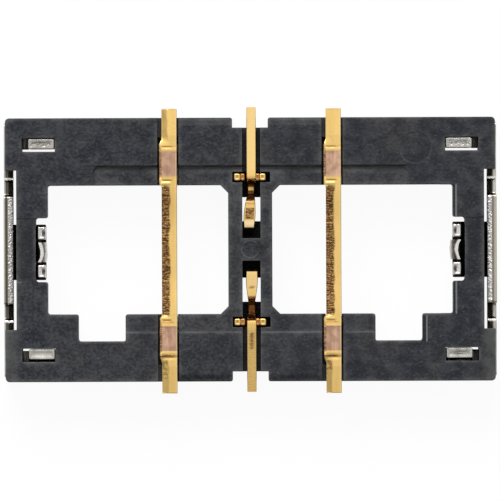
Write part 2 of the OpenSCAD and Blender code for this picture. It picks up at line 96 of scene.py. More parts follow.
camera = bpy.data.objects.new("camera", bpy.data.cameras.new("camera"))
scene.collection.objects.link(camera)
camera.location = (*VIEW_MIDDLE, cad_box[1][2] + VIEW_DISTANCE)
camera.rotation_euler = (0, 0, -PART_TURN)
camera.data.sensor_width = SENSOR
camera.data.lens = SENSOR * VIEW_DISTANCE / VIEW_WIDTH
camera.data.clip_start = VIEW_DISTANCE / 10
camera.data.clip_end = 1000 * VIEW_DISTANCE
scene.camera = camera
print("camera: lens", round(camera.data.lens), "mm")

# %% [markdown]
# ## Placing nodes
# Materials and the studio light are built from shader nodes. Short helpers add a node, set its options and
# fill its inputs. A socket knows the tree that it belongs to, so most of them only need sockets.

# %% Node helpers
def fill(node, inputs):
    """Fills inputs of a node: a socket is linked, and a number or colour is set."""
    for key, value in inputs.items():
        if isinstance(value, bpy.types.NodeSocket):
            node.id_data.links.new(value, node.inputs[key])
        else:
            node.inputs[key].default_value = value


def place(tree, kind, inputs=None, **options):
    """Adds a shader node of that kind, with its options set and its inputs filled."""
    made = tree.nodes.new("ShaderNode" + kind)
    for name, value in options.items():
        setattr(made, name, value)
    fill(made, inputs or {})
    return made


def math_of(operation, *values):
    """The sum, product or other result of values, one of which is a socket."""
    tree = next(value.id_data for value in values if isinstance(value, bpy.types.NodeSocket))
    return place(tree, "Math", dict(enumerate(values)), operation=operation).outputs[0]


def times(first, *others):
    """The product of several masks."""
    for other in others:
        first = math_of("MULTIPLY", first, other)
    return first


def spread(value, low, high, to_low=0.0, to_high=1.0):
    """The value's span from low to high, eased in and out, laid over to_low to to_high."""
    inputs = {"Value": value, 1: low, 2: high, 3: to_low, 4: to_high}
    return place(value.id_data, "MapRange", inputs, interpolation_type="SMOOTHSTEP").outputs["Result"]


def grey(level):
    """A neutral colour of that level."""
    return (level, level, level, 1)


print("helpers for shader nodes are ready")

# %% [markdown]
# ## Studio light and floor
# In the photograph the light comes from above and a little from the upper side, so edges that face that
# way are bright. Flat metal seen from above mirrors the sky over the camera, so the sky itself is the main
# lamp: a pale dome that is brightest overhead and falls off to the sides. A soft lamp adds the highlights.
# The floor is plain and pale, white to the camera and to mirrors, and keeps a faint shadow of the part.

# %% Sky
SKY_LEAN = (0.0, 0.2, 0.0)
LEVEL_ONLY = (1.0, 1.0, 0.0)
SKY_REACH = 0.8
SKY_TOP = 1.05
SKY_EDGE = 0.27

sky = bpy.data.worlds.new("studio sky")
sky.use_nodes = True
scene.world = sky
tree = sky.node_tree
direction = place(tree, "TexCoord").outputs["Generated"]
leaning = place(tree, "VectorMath", {0: direction, 1: SKY_LEAN}, operation="SUBTRACT").outputs[0]
sideways = place(tree, "VectorMath", {0: leaning, 1: LEVEL_ONLY}, operation="MULTIPLY").outputs[0]
from_middle = place(tree, "VectorMath", {0: sideways}, operation="LENGTH").outputs["Value"]
level = spread(from_middle, 0.0, SKY_REACH, SKY_TOP, SKY_EDGE)
fill(tree.nodes["Background"], {"Strength": level, "Color": grey(1)})
print("sky: from", SKY_TOP, "overhead to", SKY_EDGE, "at the sides")

# %% Lamp
LAMP_PLACE = mm(-15, 70, 75)
LAMP_SIZE = mm(60)
LAMP_POWER = 0.075

lamp = bpy.data.objects.new("soft lamp", bpy.data.lights.new("soft lamp", "AREA"))
scene.collection.objects.link(lamp)
lamp.data.size = LAMP_SIZE
lamp.data.energy = LAMP_POWER
lamp.location = LAMP_PLACE
lamp.rotation_euler = lamp.location.to_track_quat("Z", "Y").to_euler()
print("lamp:", LAMP_POWER, "W")

# %% Floor
FLOOR_HALF = mm(150)
FLOOR_GLOW = 0.94
FLOOR_COLOUR = 0.076

sheet = bpy.data.meshes.new("floor")
corners = FLOOR_HALF * np.array([[-1, -1, 0], [1, -1, 0], [1, 1, 0], [-1, 1, 0]])
sheet.from_pydata(corners.tolist(), [], [[0, 1, 2, 3]])
floor = bpy.data.objects.new("floor", sheet)
scene.collection.objects.link(floor)

paper = bpy.data.materials.new("paper")
paper.use_nodes = True
tree = paper.node_tree
tree.nodes.clear()
ray = place(tree, "LightPath").outputs
seen = math_of("MAXIMUM", ray["Is Camera Ray"], ray["Is Glossy Ray"])
seen = math_of("MAXIMUM", seen, ray["Is Transmission Ray"])
glow = place(tree, "Emission", {"Color": grey(1), "Strength": FLOOR_GLOW}).outputs[0]
shade = place(tree, "BsdfDiffuse", {"Color": grey(FLOOR_COLOUR)}).outputs[0]
shown = place(tree, "AddShader", {0: glow, 1: shade}).outputs[0]
bounce = place(tree, "BsdfDiffuse", {"Color": grey(FLOOR_GLOW)}).outputs[0]
both = place(tree, "MixShader", {0: seen, 1: bounce, 2: shown}).outputs[0]
place(tree, "OutputMaterial", {"Surface": both})
sheet.materials.append(paper)
print("floor:", 2 * FLOOR_HALF / MM, "mm square")

# %% [markdown]
# ## Shared finishes
# Two effects show on all three materials. Grain is the fine and coarse unevenness that every surface
# here has at this size. Edges are paler, partly from wear and partly as a painted highlight of their
# rounding: the angle between the true surface and a slightly rounded copy of it shows where an edge is. The
# metal meshes also carry masks on their points: torn and cut say where the stamping left its marks, the dull
# mask holds dull places, tarnish and painted shade, and the rubbed mask holds painted highlights and rubbed
# places.

# %% Grain group
def new_group(name, inputs, outputs):
    """An empty shader node group with its sockets, and its input and output nodes."""
    group = bpy.data.node_groups.new(name, "ShaderNodeTree")
    for way, sockets in (("INPUT", inputs), ("OUTPUT", outputs)):
        for label, kind in sockets.items():
            group.interface.new_socket(label, in_out=way, socket_type="NodeSocket" + kind)
    return group, group.nodes.new("NodeGroupInput").outputs, group.nodes.new("NodeGroupOutput")


FLECK_SHIFT = (0.01, 0.02, 0.03)
NOISE_SPAN = (0.3, 0.7)
FLECK_SPAN = (0.62, 0.74)

grain_group, given, result = new_group(
    "grain",
    {"Place": "Vector", "Fine": "Float", "Coarse": "Float"},
    {"Grain": "Float", "Mottle": "Float", "Fleck": "Float"},
)
apart = place(grain_group, "VectorMath", {0: given["Place"], 1: FLECK_SHIFT}, operation="ADD").outputs[0]
for name, spot, scale, detail, span in (
    ("Grain", given["Place"], given["Fine"], 2.0, NOISE_SPAN),
    ("Mottle", given["Place"], given["Coarse"], 4.0, NOISE_SPAN),
    ("Fleck", apart, given["Fine"], 1.0, FLECK_SPAN),
):
    noise = place(grain_group, "TexNoise", {"Vector": spot, "Scale": scale, "Detail": detail}).outputs[0]
    fill(result, {name: spread(noise, *span)})
print("group:", grain_group.name)

# %% Rounded edge group
EDGE_SPAN = (0.99, 0.75)
BEVEL_SAMPLES = 6

edge_group, given, result = new_group("rounded edge", {"Width": "Float"}, {"Edge": "Float", "Normal": "Vector"})
true_normal = place(edge_group, "NewGeometry").outputs["True Normal"]
rounded = place(edge_group, "Bevel", {"Radius": given["Width"]}, samples=BEVEL_SAMPLES).outputs[0]
same = place(edge_group, "VectorMath", {0: true_normal, 1: rounded}, operation="DOT_PRODUCT")
fill(result, {"Edge": spread(same.outputs["Value"], *EDGE_SPAN), "Normal": rounded})
print("group:", edge_group.name)

# %% Material helpers
def new_material(name):
    """A material with its node tree, its Principled shader and the Object coordinates."""
    made = bpy.data.materials.new(name)
    made.use_nodes = True
    where = place(made.node_tree, "TexCoord").outputs["Object"]
    return made, made.node_tree, made.node_tree.nodes["Principled BSDF"], where


def grain_of(where, fine, coarse, stretch=(1.0, 1.0, 1.0)):
    """The grain group's outputs for features of those sizes in metres, stretched along the axes."""
    tree = where.id_data
    spot = place(tree, "Mapping", {"Vector": where, "Scale": stretch}).outputs[0]
    inputs = {"Place": spot, "Fine": 1 / fine, "Coarse": 1 / coarse}
    return place(tree, "Group", inputs, node_tree=grain_group).outputs


def edge_of(tree, width):
    """The rounded edge group's outputs for edges of that width."""
    return place(tree, "Group", {"Width": width}, node_tree=edge_group).outputs


# The dull mask holds dull places, tarnish and painted shade; the rubbed mask holds painted highlights and
# rubbed places.
MASKS = ("torn", "cut", "dull_and_shade", "rubbed_and_highlight")


def masks_of(tree, *names):
    """Masks that a mesh carries on its points, by name."""
    return [place(tree, "Attribute", attribute_name=name).outputs["Fac"] for name in names]


def layered(colour, layers):
    """The colour with layers laid over it in order. Each layer is a mask, its share and its colour."""
    for mask, share, tint in layers:
        inputs = {0: times(mask, share), 6: colour, 7: tint}
        colour = place(mask.id_data, "Mix", inputs, data_type="RGBA").outputs[2]
    return colour


def bump_of(height, depth, **normal):
    """A normal with fine relief of that depth from a height between 0 and 1, on a given normal, if any."""
    return place(height.id_data, "Bump", {"Height": height, "Distance": depth, **normal}).outputs[0]


print("helpers for materials are ready")

# %% Places on a piece
def axes_of(where):
    """The coordinates x, y and z, the distances far_x and far_y from the middle, and how far the surface
    faces up."""
    tree = where.id_data
    axes = dict(zip("xyz", place(tree, "SeparateXYZ", {0: where}).outputs))
    for axis in "xy":
        axes["far_" + axis] = math_of("ABSOLUTE", axes[axis])
    normal = place(tree, "NewGeometry").outputs["True Normal"]
    axes["up"] = place(tree, "SeparateXYZ", {0: normal}).outputs["Z"]
    return axes


def at(axes, **limits):
    """The product of masks along the named axes. A mask rises from 0 to 1 between two limits, and with two
    more it falls again from the third to the fourth."""
    rises = [spread(axes[axis], *limit[:2]) for axis, limit in limits.items()]
    falls = [spread(axes[axis], *limit[:1:-1]) for axis, limit in limits.items() if len(limit) == 4]
    return times(*rises, *falls)


print("helpers for places are ready")

# %% [markdown]
# ## The black moulding
# The frame is moulded from a filled plastic. Under this enlargement it isn't black but a dark slate grey,
# clouded and slightly blue in places, with small dark pits, pale specks of filler, and paler edges that are
# partly rubbed and partly a painted highlight.
# One noise could give a grey that varies, but it would look like stone, so five of different sizes are used,
# three of them stretched along the way that the melt flowed or the mould was brushed.

# %% Colours and textures of the moulding
SLATE_COOL = (0.027, 0.029, 0.041, 1)
SLATE_WARM = (0.038, 0.0372, 0.0375, 1)
SLATE_TEAL = (0.025, 0.0345, 0.043, 1)
SLATE_DARK = (0.0085, 0.0095, 0.0150, 1)
SLATE_PALE = (0.075, 0.077, 0.086, 1)
# Pits, and the painted shade in the recess corner, along the crease line and in the deep places.
PIT_AND_SHADE = (0.005, 0.005, 0.007, 1)
SPECK = (0.13, 0.13, 0.132, 1)
# Smears and chalky ends, and the painted light that fills a shadow line along a saddle's edge.
SMEAR_AND_FILL_LIGHT = (0.088, 0.089, 0.088, 1)
# Paler edges: partly wear, and a painted highlight on rounded edges, on the pad's rim and along the painted
# steps.
PALE_EDGE = (0.21, 0.21, 0.212, 1)
# Painted shade of a step that the shape lacks.
STEP_SHADE = (0.009, 0.0145, 0.0155, 1)
PAD_SHADE = (0.027, 0.031, 0.037, 1)
RECESS_DARK = (0.028, 0.029, 0.033, 1)
RECESS_PALE = (0.098, 0.098, 0.100, 1)

moulding, tree, shader, where = new_material("moulding")
skin = grain_of(where, *mm(0.028, 0.12))
clouds = grain_of(where, *mm(0.05, 0.34))
filler = grain_of(where, *mm(0.016, 0.3), (0.6, 1.0, 1.0))
smears = grain_of(where, *mm(0.045, 0.1), (0.5, 1.0, 1.0))
drawn = grain_of(where, *mm(0.03, 0.09), (1.0, 0.1, 1.0))
edge = edge_of(tree, mm(0.02))
rounding = edge_of(tree, mm(0.085))["Edge"]
pad, pad_rim = masks_of(tree, "dull_and_shade", "rubbed_and_highlight")
print("material:", moulding.name)

# %% [markdown]
# ## Where the moulding looks different
# The recess round the windows comes from a smoother part of the mould, so it is a little paler. Painted shade
# darkens its corner and lays a dark line along its long side, where the step up to the wall would cast a
# shadow, and painted shade darkens the deep places too. The hub between the two wells and the saddles over
# the end clips are darker, and the lower ends of the part are chalky; a thin painted light fills a shadow
# line along one edge of each saddle. Beside the right-hand window and a post, a narrow step that the shape
# lacks is painted: a dark painted shade with a painted highlight along its edge. Separate pieces could carry
# these finishes, but the moulding is one piece, so its coordinates tell the material where they are.

# %% Places on the moulding
FACING_UP = (0.8, 0.95)
RECESS = mm(0.545, 0.552, 0.568, 0.575)
RECESS_FRONT = mm(-0.55, -0.45)
SADDLE_START = mm(1.66, 1.8)
WINDOW_SIDE = mm(0.26, 0.275, 0.545, 0.56)
POST_SIDE = mm(-0.8, -0.78, -0.575, -0.56)
TOP_PLACES = {
    "recess": {"z": RECESS},
    # The corner, deep and crease places get painted shade; the steps get painted shade and their edges a
    # painted highlight.
    "corner": {"z": RECESS, "y": mm(0.7, 0.707)},
    "ragged": {"z": RECESS, "y": mm(0.635, 0.672)},
    "hub": {"z": RECESS, "far_x": mm(0.18, 0.13), "far_y": mm(0.19, 0.1)},
    "deep": {"z": mm(0.545, 0.515)},
    "crease": {"y": mm(0.703, 0.707, 0.720, 0.726), "far_x": mm(1.35, 1.33)},
    "saddle": {"far_x": SADDLE_START, "far_y": mm(0.32, 0.2)},
    "ends": {"far_x": mm(1.94, 2.03)},
    "window step": {"x": mm(1.7, 1.705, 1.746, 1.752), "far_y": WINDOW_SIDE},
    "post step": {"x": mm(1.45, 1.455, 1.494, 1.5), "y": POST_SIDE},
    "window edge": {"x": mm(1.746, 1.752, 1.758, 1.766), "far_y": WINDOW_SIDE},
    "post edge": {"x": mm(1.494, 1.5, 1.505, 1.512), "y": POST_SIDE},
}
# The place of a painted light that fills the shadow line along a saddle's edge.
SADDLE_LINE = {"far_x": SADDLE_START, "y": mm(0.262, 0.266, 0.274, 0.277)}
SADDLE_SHELF = {"far_x": mm(1.7, 1.78, 1.93, 1.97), "far_y": mm(0.16, 0.19, 0.35, 0.38)}
FRONT_SHELF = {"y": mm(-0.84, -0.83, -0.805, -0.795)}
END_FADE = mm(0.9, -0.9)
MIDDLE_PART = (0.2, 0.8)
WHOLE = (0.0, 1.0)

axes = axes_of(where)
up = at(axes, up=FACING_UP)
top = {name: times(up, at(axes, **limits)) for name, limits in TOP_PLACES.items()}
recessed = times(top["recess"], spread(axes["y"], *RECESS_FRONT, 0.3, 0.7))
ragged = times(top["ragged"], smears["Mottle"])
crease = times(top["crease"], spread(smears["Mottle"], *MIDDLE_PART, 0.8, 1.0))
saddle = times(top["saddle"], spread(drawn["Mottle"], *WHOLE, 0.45, 1.0))
ends = times(top["ends"], spread(axes["y"], *END_FADE, 0.05, 1.0))
ends = times(ends, spread(skin["Mottle"], *MIDDLE_PART, 0.6, 1.0))
shelf = math_of("MAXIMUM", at(axes, **FRONT_SHELF), at(axes, **SADDLE_SHELF))
print("places on top of the moulding:", *TOP_PLACES)

# %% [markdown]
# ## The moulding's colour
# The colour is built up as a painter would: a cool and a warm slate, then the places, then clouds and grain,
# then pits, smears and specks, then the paler edges, partly rubbed and partly a painted highlight, and
# painted shade and painted light last. The photograph is a little darker and smoother towards the right and
# in the middle third, and so is the grain here.

# %% Layers of the moulding
RIGHT_HALF = mm(-0.3, 0.4)
MIDDLE_THIRD = mm(0.9, 0.5)
RIGHT_DIM = 0.17
MIDDLE_DIM = 0.16
RIGHT_GRAIN = 0.55
DARK_PART = (0.6, 0.0)
PALE_PART = (0.4, 1.0)
TEAL_PART = (0.45, 0.85)

# Paler edges, partly worn and partly a painted highlight of their rounding.
worn = times(edge["Edge"], spread(clouds["Mottle"], 0.25, 0.75, 0.2, 0.7))
worn = times(worn, spread(shelf, *WHOLE, 1.0, 0.1))
rounded = times(rounding, spread(skin["Mottle"], *MIDDLE_PART, 0.5, 1.0))
rounded = times(rounded, spread(shelf, *WHOLE, 1.0, 0.3), spread(pad, *WHOLE, 1.0, 0.0))
right_dim = spread(axes["x"], *RIGHT_HALF, 0.0, RIGHT_DIM)
middle_dim = spread(axes["far_x"], *MIDDLE_THIRD, 0.0, MIDDLE_DIM)
beside = math_of("SUBTRACT", 1.0, top["recess"])
grainy = spread(axes["x"], *RIGHT_HALF, 1.0, RIGHT_GRAIN)
layers = [
    (clouds["Mottle"], 1, SLATE_WARM),
    (spread(filler["Mottle"], *TEAL_PART), 0.55, SLATE_TEAL),
    (recessed, 1, layered(RECESS_DARK, [(smears["Mottle"], 1, RECESS_PALE)])),
    (top["hub"], 0.42, SLATE_DARK),
    (pad, 0.9, PAD_SHADE),
    (beside, math_of("ADD", right_dim, middle_dim), SLATE_DARK),
    (spread(clouds["Mottle"], *DARK_PART), 0.3, SLATE_DARK),
    (spread(clouds["Mottle"], *PALE_PART), 0.16, SLATE_PALE),
    (spread(skin["Mottle"], *DARK_PART), 0.48, SLATE_DARK),
    (spread(skin["Mottle"], *PALE_PART), 0.32, SLATE_PALE),
    (times(grainy, spread(skin["Grain"], *DARK_PART)), 0.45, SLATE_DARK),
    (times(grainy, spread(skin["Grain"], *PALE_PART)), 0.36, SLATE_PALE),
    (smears["Fleck"], 0.3, SMEAR_AND_FILL_LIGHT),
    (clouds["Fleck"], 0.45, PIT_AND_SHADE),
    (saddle, 0.6, SLATE_DARK),
    (filler["Fleck"], 0.38, SPECK),
    (ends, 0.75, SMEAR_AND_FILL_LIGHT),
    # Painted highlight along rounded edges, partly wear.
    (rounded, 0.36, PALE_EDGE),
    (ragged, 0.3, PALE_EDGE),
    (worn, 1, PALE_EDGE),
    # Painted highlight on the front of the pad's rim.
    (pad_rim, 0.6, PALE_EDGE),
    # Painted shade in the recess corner, along the crease line and in the deep places.
    (top["corner"], 0.25, PIT_AND_SHADE),
    (crease, 1, PIT_AND_SHADE),
    (top["deep"], 0.8, PIT_AND_SHADE),
    # Painted light over the shadow line along a saddle's edge.
    (at(axes, **SADDLE_LINE), 0.4, SMEAR_AND_FILL_LIGHT),
    # Painted shade on the steps that the shape lacks, and a painted highlight along their edges.
    (top["window step"], 0.9, STEP_SHADE),
    (top["post step"], 0.9, STEP_SHADE),
    (top["window edge"], 0.9, PALE_EDGE),
    (top["post edge"], 0.9, PALE_EDGE),
]
fill(shader, {"Base Color": layered(SLATE_COOL, layers)})
print("the moulding's colour has", len(layers), "layers")

# %% Gloss and relief of the moulding
MOULDING_ROUGH = (0.46, 0.66)
MOULDING_GLOSS = 0.25
MOULDING_RELIEF = mm(0.0016)

true_normal = place(tree, "NewGeometry").outputs["True Normal"]
normals = {0: shelf, 4: edge["Normal"], 5: true_normal}
normal = place(tree, "Mix", normals, data_type="VECTOR").outputs[1]
fill(shader, {
    "Roughness": spread(skin["Grain"], *WHOLE, *MOULDING_ROUGH),
    "Specular IOR Level": MOULDING_GLOSS,
    "Normal": bump_of(skin["Grain"], MOULDING_RELIEF, Normal=normal),
})
print("the moulding's relief is", MOULDING_RELIEF / MM, "mm deep")

# %% [markdown]
# ## Gold plate, its sheared edges and its cut faces
# The terminals are stamped from copper alloy and plated. A stamped edge is smooth where the punch slid
# along it and brown, torn and striped where it broke. Where the terminals were cut from their strip after
# plating, bare copper shows. The creases are tarnished; deep in the moulding the plate is darkened by painted
# shade in the same brown, and painted highlights make its edges and some bright places paler. These
# colours could be painted on the points, but then fine stripes would need far more points, so the points
# only carry the four masks, and the material has a finish for each.

# %% Gold material
GOLD = (0.95, 0.645, 0.225, 1)
GOLD_DULL = (0.82, 0.53, 0.17, 1)
GOLD_SPOT = (0.40, 0.23, 0.075, 1)
# Painted highlight on edges and on the bright places of the rubbed mask.
GOLD_HIGHLIGHT = (1.0, 0.79, 0.47, 1)
# Tarnish in the creases, and painted shade in the wells and at the crowns' roots in the same brown.
TARNISH_AND_SHADE = (0.50, 0.20, 0.062, 1)
TORN_DARK = (0.075, 0.037, 0.013, 1)
TORN_PALE = (0.46, 0.255, 0.098, 1)
COPPER = (0.79, 0.492, 0.343, 1)
COPPER_DARK = (0.36, 0.206, 0.133, 1)
HOLES = (0.6, 0.2)
EDGE_WIDTH = mm(0.008)
GOLD_ROUGH = (0.18, 0.30)
TORN_ROUGH = (0.0, 0.2)
PLATE_RELIEF = 0.05
GOLD_RELIEF = mm(0.0013)

gold, tree, shader, where = new_material("gold plate")
torn, cut, dull_and_shade, rubbed_and_highlight = masks_of(tree, *MASKS)
edge = edge_of(tree, EDGE_WIDTH)["Edge"]
streaks = grain_of(where, *mm(0.022, 0.08), (1.0, 0.08, 0.3))
stripes = grain_of(where, *mm(0.0085, 0.05), (0.14, 1.0, 1.0))
spots = grain_of(where, *mm(0.02, 0.07))
plated = layered(GOLD, [
    (streaks["Mottle"], 0.5, GOLD_DULL),
    (spots["Fleck"], 0.15, GOLD_SPOT),
    # Painted highlight along the edges.
    (edge, 0.3, GOLD_HIGHLIGHT),
])
broken = layered(TORN_DARK, [
    (stripes["Grain"], 1, TORN_PALE),
    (spread(spots["Grain"], *HOLES), 0.8, TORN_DARK),
])
bare = layered(COPPER, [
    (spread(spots["Mottle"], *MIDDLE_PART), 0.5, COPPER_DARK),
    (spread(streaks["Mottle"], *MIDDLE_PART), 0.5, COPPER_DARK),
    (streaks["Grain"], 0.3, COPPER_DARK),
])
# Painted highlights from the rubbed mask; tarnish and painted shade from the dull mask.
layers = [(torn, 1, broken), (cut, 1, bare), (rubbed_and_highlight, 1, GOLD_HIGHLIGHT), (dull_and_shade, 1, TARNISH_AND_SHADE)]
rough = math_of("ADD", spread(streaks["Grain"], *WHOLE, *GOLD_ROUGH), spread(torn, *WHOLE, *TORN_ROUGH))
relief = math_of("ADD", times(stripes["Grain"], torn), times(spots["Grain"], PLATE_RELIEF))
normal = bump_of(relief, GOLD_RELIEF)
fill(shader, {"Base Color": layered(plated, layers), "Metallic": 1.0, "Roughness": rough, "Normal": normal})
print("material:", gold.name)

# %% [markdown]
# ## Bright sheet
# The end clips are folded from bright plated sheet. Their sheared top edges sparkle: half of the edge is
# smooth and slightly brown, and the other half is torn into bright and dark facets with painted glints.
# Deep in the slots and behind the moulding, painted shade darkens the sheet nearly to black, and painted
# highlights brighten its edges, notches, rope and finger ends. The gold's nodes with other colours would
# give stripes here, so the sheet has a material of its own.

# %% Bright sheet material
SHEET_PALE = (0.70, 0.685, 0.64, 1)
SHEET_BROWN = (0.50, 0.47, 0.41, 1)
SHEET_DARK = (0.27, 0.26, 0.235, 1)
SHEET_TORN = (0.75, 0.735, 0.69, 1)
SHEET_GLINT = (0.95, 0.94, 0.91, 1)
# Dull places and painted shade in the slots, behind the moulding and under it.
SHEET_SHADE_AND_DULL = (0.036, 0.031, 0.024, 1)
SHEET_STAIN = (0.40, 0.345, 0.285, 1)
SHEET_RIM = (0.60, 0.56, 0.44, 1)
TAB_TOP = mm(0.55, 0.57)
STAIN_FROM = mm(2.058, 2.068)
RIM_FROM = mm(2.082, 2.094)
SHEET_ROUGH = (0.24, 0.40)
SMOOTH_RELIEF = 0.12
SHEET_RELIEF = mm(0.002)

bright, tree, shader, where = new_material("bright sheet")
torn, dull_and_shade, rubbed_and_highlight = masks_of(tree, "torn", "dull_and_shade", "rubbed_and_highlight")
edge = edge_of(tree, EDGE_WIDTH)["Edge"]
facets = grain_of(where, *mm(0.017, 0.05))
brushed = grain_of(where, *mm(0.016, 0.06), (1.0, 0.15, 0.2))
axes = axes_of(where)
smooth = layered(SHEET_PALE, [
    (brushed["Mottle"], 1, SHEET_BROWN),
    (at(axes, z=TAB_TOP, far_x=STAIN_FROM), 0.8, SHEET_STAIN),
    (at(axes, z=TAB_TOP, far_x=RIM_FROM), 0.7, SHEET_RIM),
])
# Torn facets with painted glints.
broken = layered(SHEET_DARK, [(facets["Grain"], 1, SHEET_TORN), (facets["Fleck"], 0.7, SHEET_GLINT)])
# Painted highlights along edges and in the rubbed mask; painted shade from the dull mask.
layers = [(torn, 1, broken), (edge, 0.3, SHEET_GLINT), (rubbed_and_highlight, 1, SHEET_GLINT), (dull_and_shade, 1, SHEET_SHADE_AND_DULL)]
rough = spread(brushed["Grain"], *WHOLE, *SHEET_ROUGH)
normal = bump_of(times(facets["Grain"], spread(torn, *WHOLE, SMOOTH_RELIEF, 1.0)), SHEET_RELIEF)
fill(shader, {"Base Color": layered(smooth, layers), "Metallic": 1.0, "Roughness": rough, "Normal": normal})
print("material:", bright.name)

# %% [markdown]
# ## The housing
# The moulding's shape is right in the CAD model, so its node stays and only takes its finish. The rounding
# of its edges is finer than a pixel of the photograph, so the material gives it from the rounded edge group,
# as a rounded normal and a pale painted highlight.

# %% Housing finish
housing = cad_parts["housing"]
housing.material_slots[0].material = moulding
print("housing:", len(housing.data.polygons), "triangles in the", moulding.name, "finish")

# %% [markdown]
# ## Surfaces from numpy
# Every metal piece is a grid of points worked out at once: rows run one way, columns the other. The helper
# below closes such a grid into a shell, and another one puts shells into one mesh.

# %% Shells and meshes
SHARP = math.radians(42)


def shell(grid, masks):
    """A closed shell from a grid of points: rows of one closed loop each, and the first and last loop
    filled with one flat face. The faces are turned outwards by the sign of the volume they enclose,
    which is a sixth of the sum of the triple products of their corners."""
    rows, columns = grid.shape[:2]
    index = np.arange(rows * columns).reshape(rows, columns)
    ahead = np.roll(index, -1, axis=1)
    quads = np.stack([index[:-1], ahead[:-1], ahead[1:], index[1:]], axis=-1).reshape(-1, 4)
    points = grid.reshape(-1, 3)
    a, b, c, d = (points[quads[:, k]] for k in range(4))
    volume = (np.cross(a, b) * c).sum() + (np.cross(a, c) * d).sum()
    caps = [index[0][::-1], index[-1]]
    for cap in caps:
        fan = points[cap]
        volume += (np.cross(fan[1:-1], fan[2:]) @ fan[0]).sum()
    turn = 1 if volume > 0 else -1
    faces = quads[:, ::turn].tolist() + [cap[::turn].tolist() for cap in caps]
    return points, faces, {name: mask.reshape(-1) for name, mask in masks.items()}


def put_piece(name, shells, material, node):
    """One object from several shells, standing for a CAD node, if any. Its four-cornered faces are shaded
    smooth except at sharp edges, and the flat faces that close the shells are shaded flat."""
    starts = np.cumsum([0] + [len(points) for points, _, _ in shells])
    faces = []
    for start, (_, own_faces, _) in zip(starts, shells):
        faces += [[start + corner for corner in face] for face in own_faces]
    mesh = bpy.data.meshes.new(name)
    mesh.from_pydata(np.vstack([points for points, _, _ in shells]).tolist(), [], faces)
    for mask in MASKS:
        values = np.concatenate([masks.get(mask, np.zeros(len(points))) for points, _, masks in shells])
        mesh.attributes.new(mask, "FLOAT", "POINT").data.foreach_set("value", values.astype(np.float32))
    mesh.polygons.foreach_set("use_smooth", np.array([len(face) == 4 for face in faces]))
    mesh.set_sharp_from_angle(angle=SHARP)
    mesh.materials.append(material)
    piece = bpy.data.objects.new(name, mesh)
    scene.collection.objects.link(piece)
    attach(piece, "root")
    if node:
        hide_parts(node)
    print("piece:", name, len(mesh.vertices), "points,", len(mesh.polygons), "faces")


print("helpers for meshes are ready")

# %% Curves and unevenness
def eased(low, high, value):
    """0 below low, 1 above high, and a smooth s-curve between them: 3t^2 - 2t^3."""
    t = np.clip((value - low) / (high - low), 0, 1)
    return t * t * (3 - 2 * t)


def between(low, high, soft, value):
    """1 between low and high and 0 outside, eased over the distance soft at both ends."""
    return eased(low - soft, low, value) * (1 - eased(high, high + soft, value))


def bell(value, middle, width):
    """A bell curve: e to the power of minus the square of the distance from the middle, in widths."""
    return np.exp(-(((value - middle) / width) ** 2))


def unevenness(rows, columns, across, along, seed):
    """Random heights on a grid that closes on itself: white noise smoothed by a bell curve of those
    widths in grid steps, by multiplying their spectra, and scaled to a spread of 1."""
    white = np.random.default_rng(seed).standard_normal((rows, columns))
    row_wave = np.fft.fftfreq(rows)[:, None] * across
    column_wave = np.fft.fftfreq(columns) * along
    curve = np.exp(-2 * np.pi**2 * (row_wave**2 + column_wave**2))
    soft = np.fft.ifft2(np.fft.fft2(white) * curve).real
    return soft / soft.std()


def lay(masks, name, values):
    """Lays values on a mask, and the stronger of old and new stays."""
    masks[name] = np.maximum(masks.get(name, 0), values)


print("helpers for shapes are ready")

# %% [markdown]
# ## The pad on the bar
# Between its two wells the bar shows a round mark, left by a pin that pushed the moulding out of the mould:
# a very low pad with a soft rim, smoother and darker than the bar. It is a profile carried round a circle.
# Its height comes from the CAD model, as the highest point of the bar there.

# %% Bar pad
PAD_RADIUS = mm(0.082)
PAD_LOOPS = np.linspace(0, 0.96, 48)[:, None]
PAD_POINTS = 72
PAD_RISE = mm(0.0008)
PAD_RIM_AT, PAD_RIM_WIDE, PAD_RIM_HIGH = mm(0.008, 0.0045, 0.0026)
PAD_ROOT = mm(0.005)
RIM_LIGHT = (0.12, 0.75, 0.35)


def bar_pad(bar_top):
    """Loops of shrinking radius. Each lies a little above the bar, plus a bell curve near the edge for the
    rim, and the first one lies in the bar. The rim gets a painted highlight of a base minus a sine of the
    angle, so that its front looks lit."""
    angle = np.linspace(0, 2 * np.pi, PAD_POINTS, endpoint=False)
    radius = PAD_RADIUS * (1 - PAD_LOOPS)
    rim = bell(PAD_RADIUS - radius, PAD_RIM_AT, PAD_RIM_WIDE)
    z = bar_top + PAD_RISE + PAD_RIM_HIGH * rim
    z[0] = bar_top - PAD_ROOT
    grid = np.stack([radius * np.cos(angle), radius * np.sin(angle), z + 0 * angle], axis=-1)
    inside = eased(0, 2 * PAD_RIM_AT, PAD_RADIUS - radius) + 0 * angle
    base, swing, turn = RIM_LIGHT
    # Painted highlight on the rim, brightest at the front.
    front = rim * np.clip(base - swing * np.sin(angle + turn), 0.04, 1)
    return shell(grid, {"dull_and_shade": inside, "rubbed_and_highlight": front})


corners = np.empty(3 * len(housing.data.vertices))
housing.data.vertices.foreach_get("co", corners)
corners = corners.reshape(-1, 3)
bar_top = corners[(abs(corners[:, :2]) < 2 * PAD_RADIUS).all(axis=1), 2].max()
put_piece("bar_pad", [bar_pad(bar_top)], moulding, None)
print("the bar's top lies at", round(bar_top / MM, 3), "mm")

# %% [markdown]
# ## The outline of a stamped plate
# A stamped plate is an outline carried across the sheet's thickness. The CAD node already has that outline
# as the rim of its flat side, so it is read from there: edges that belong to only one of the flat side's
# triangles lie on its rim, and following them from end to end puts them in order.

# %% Rim of a flat side
MERGE = mm(1e-5)


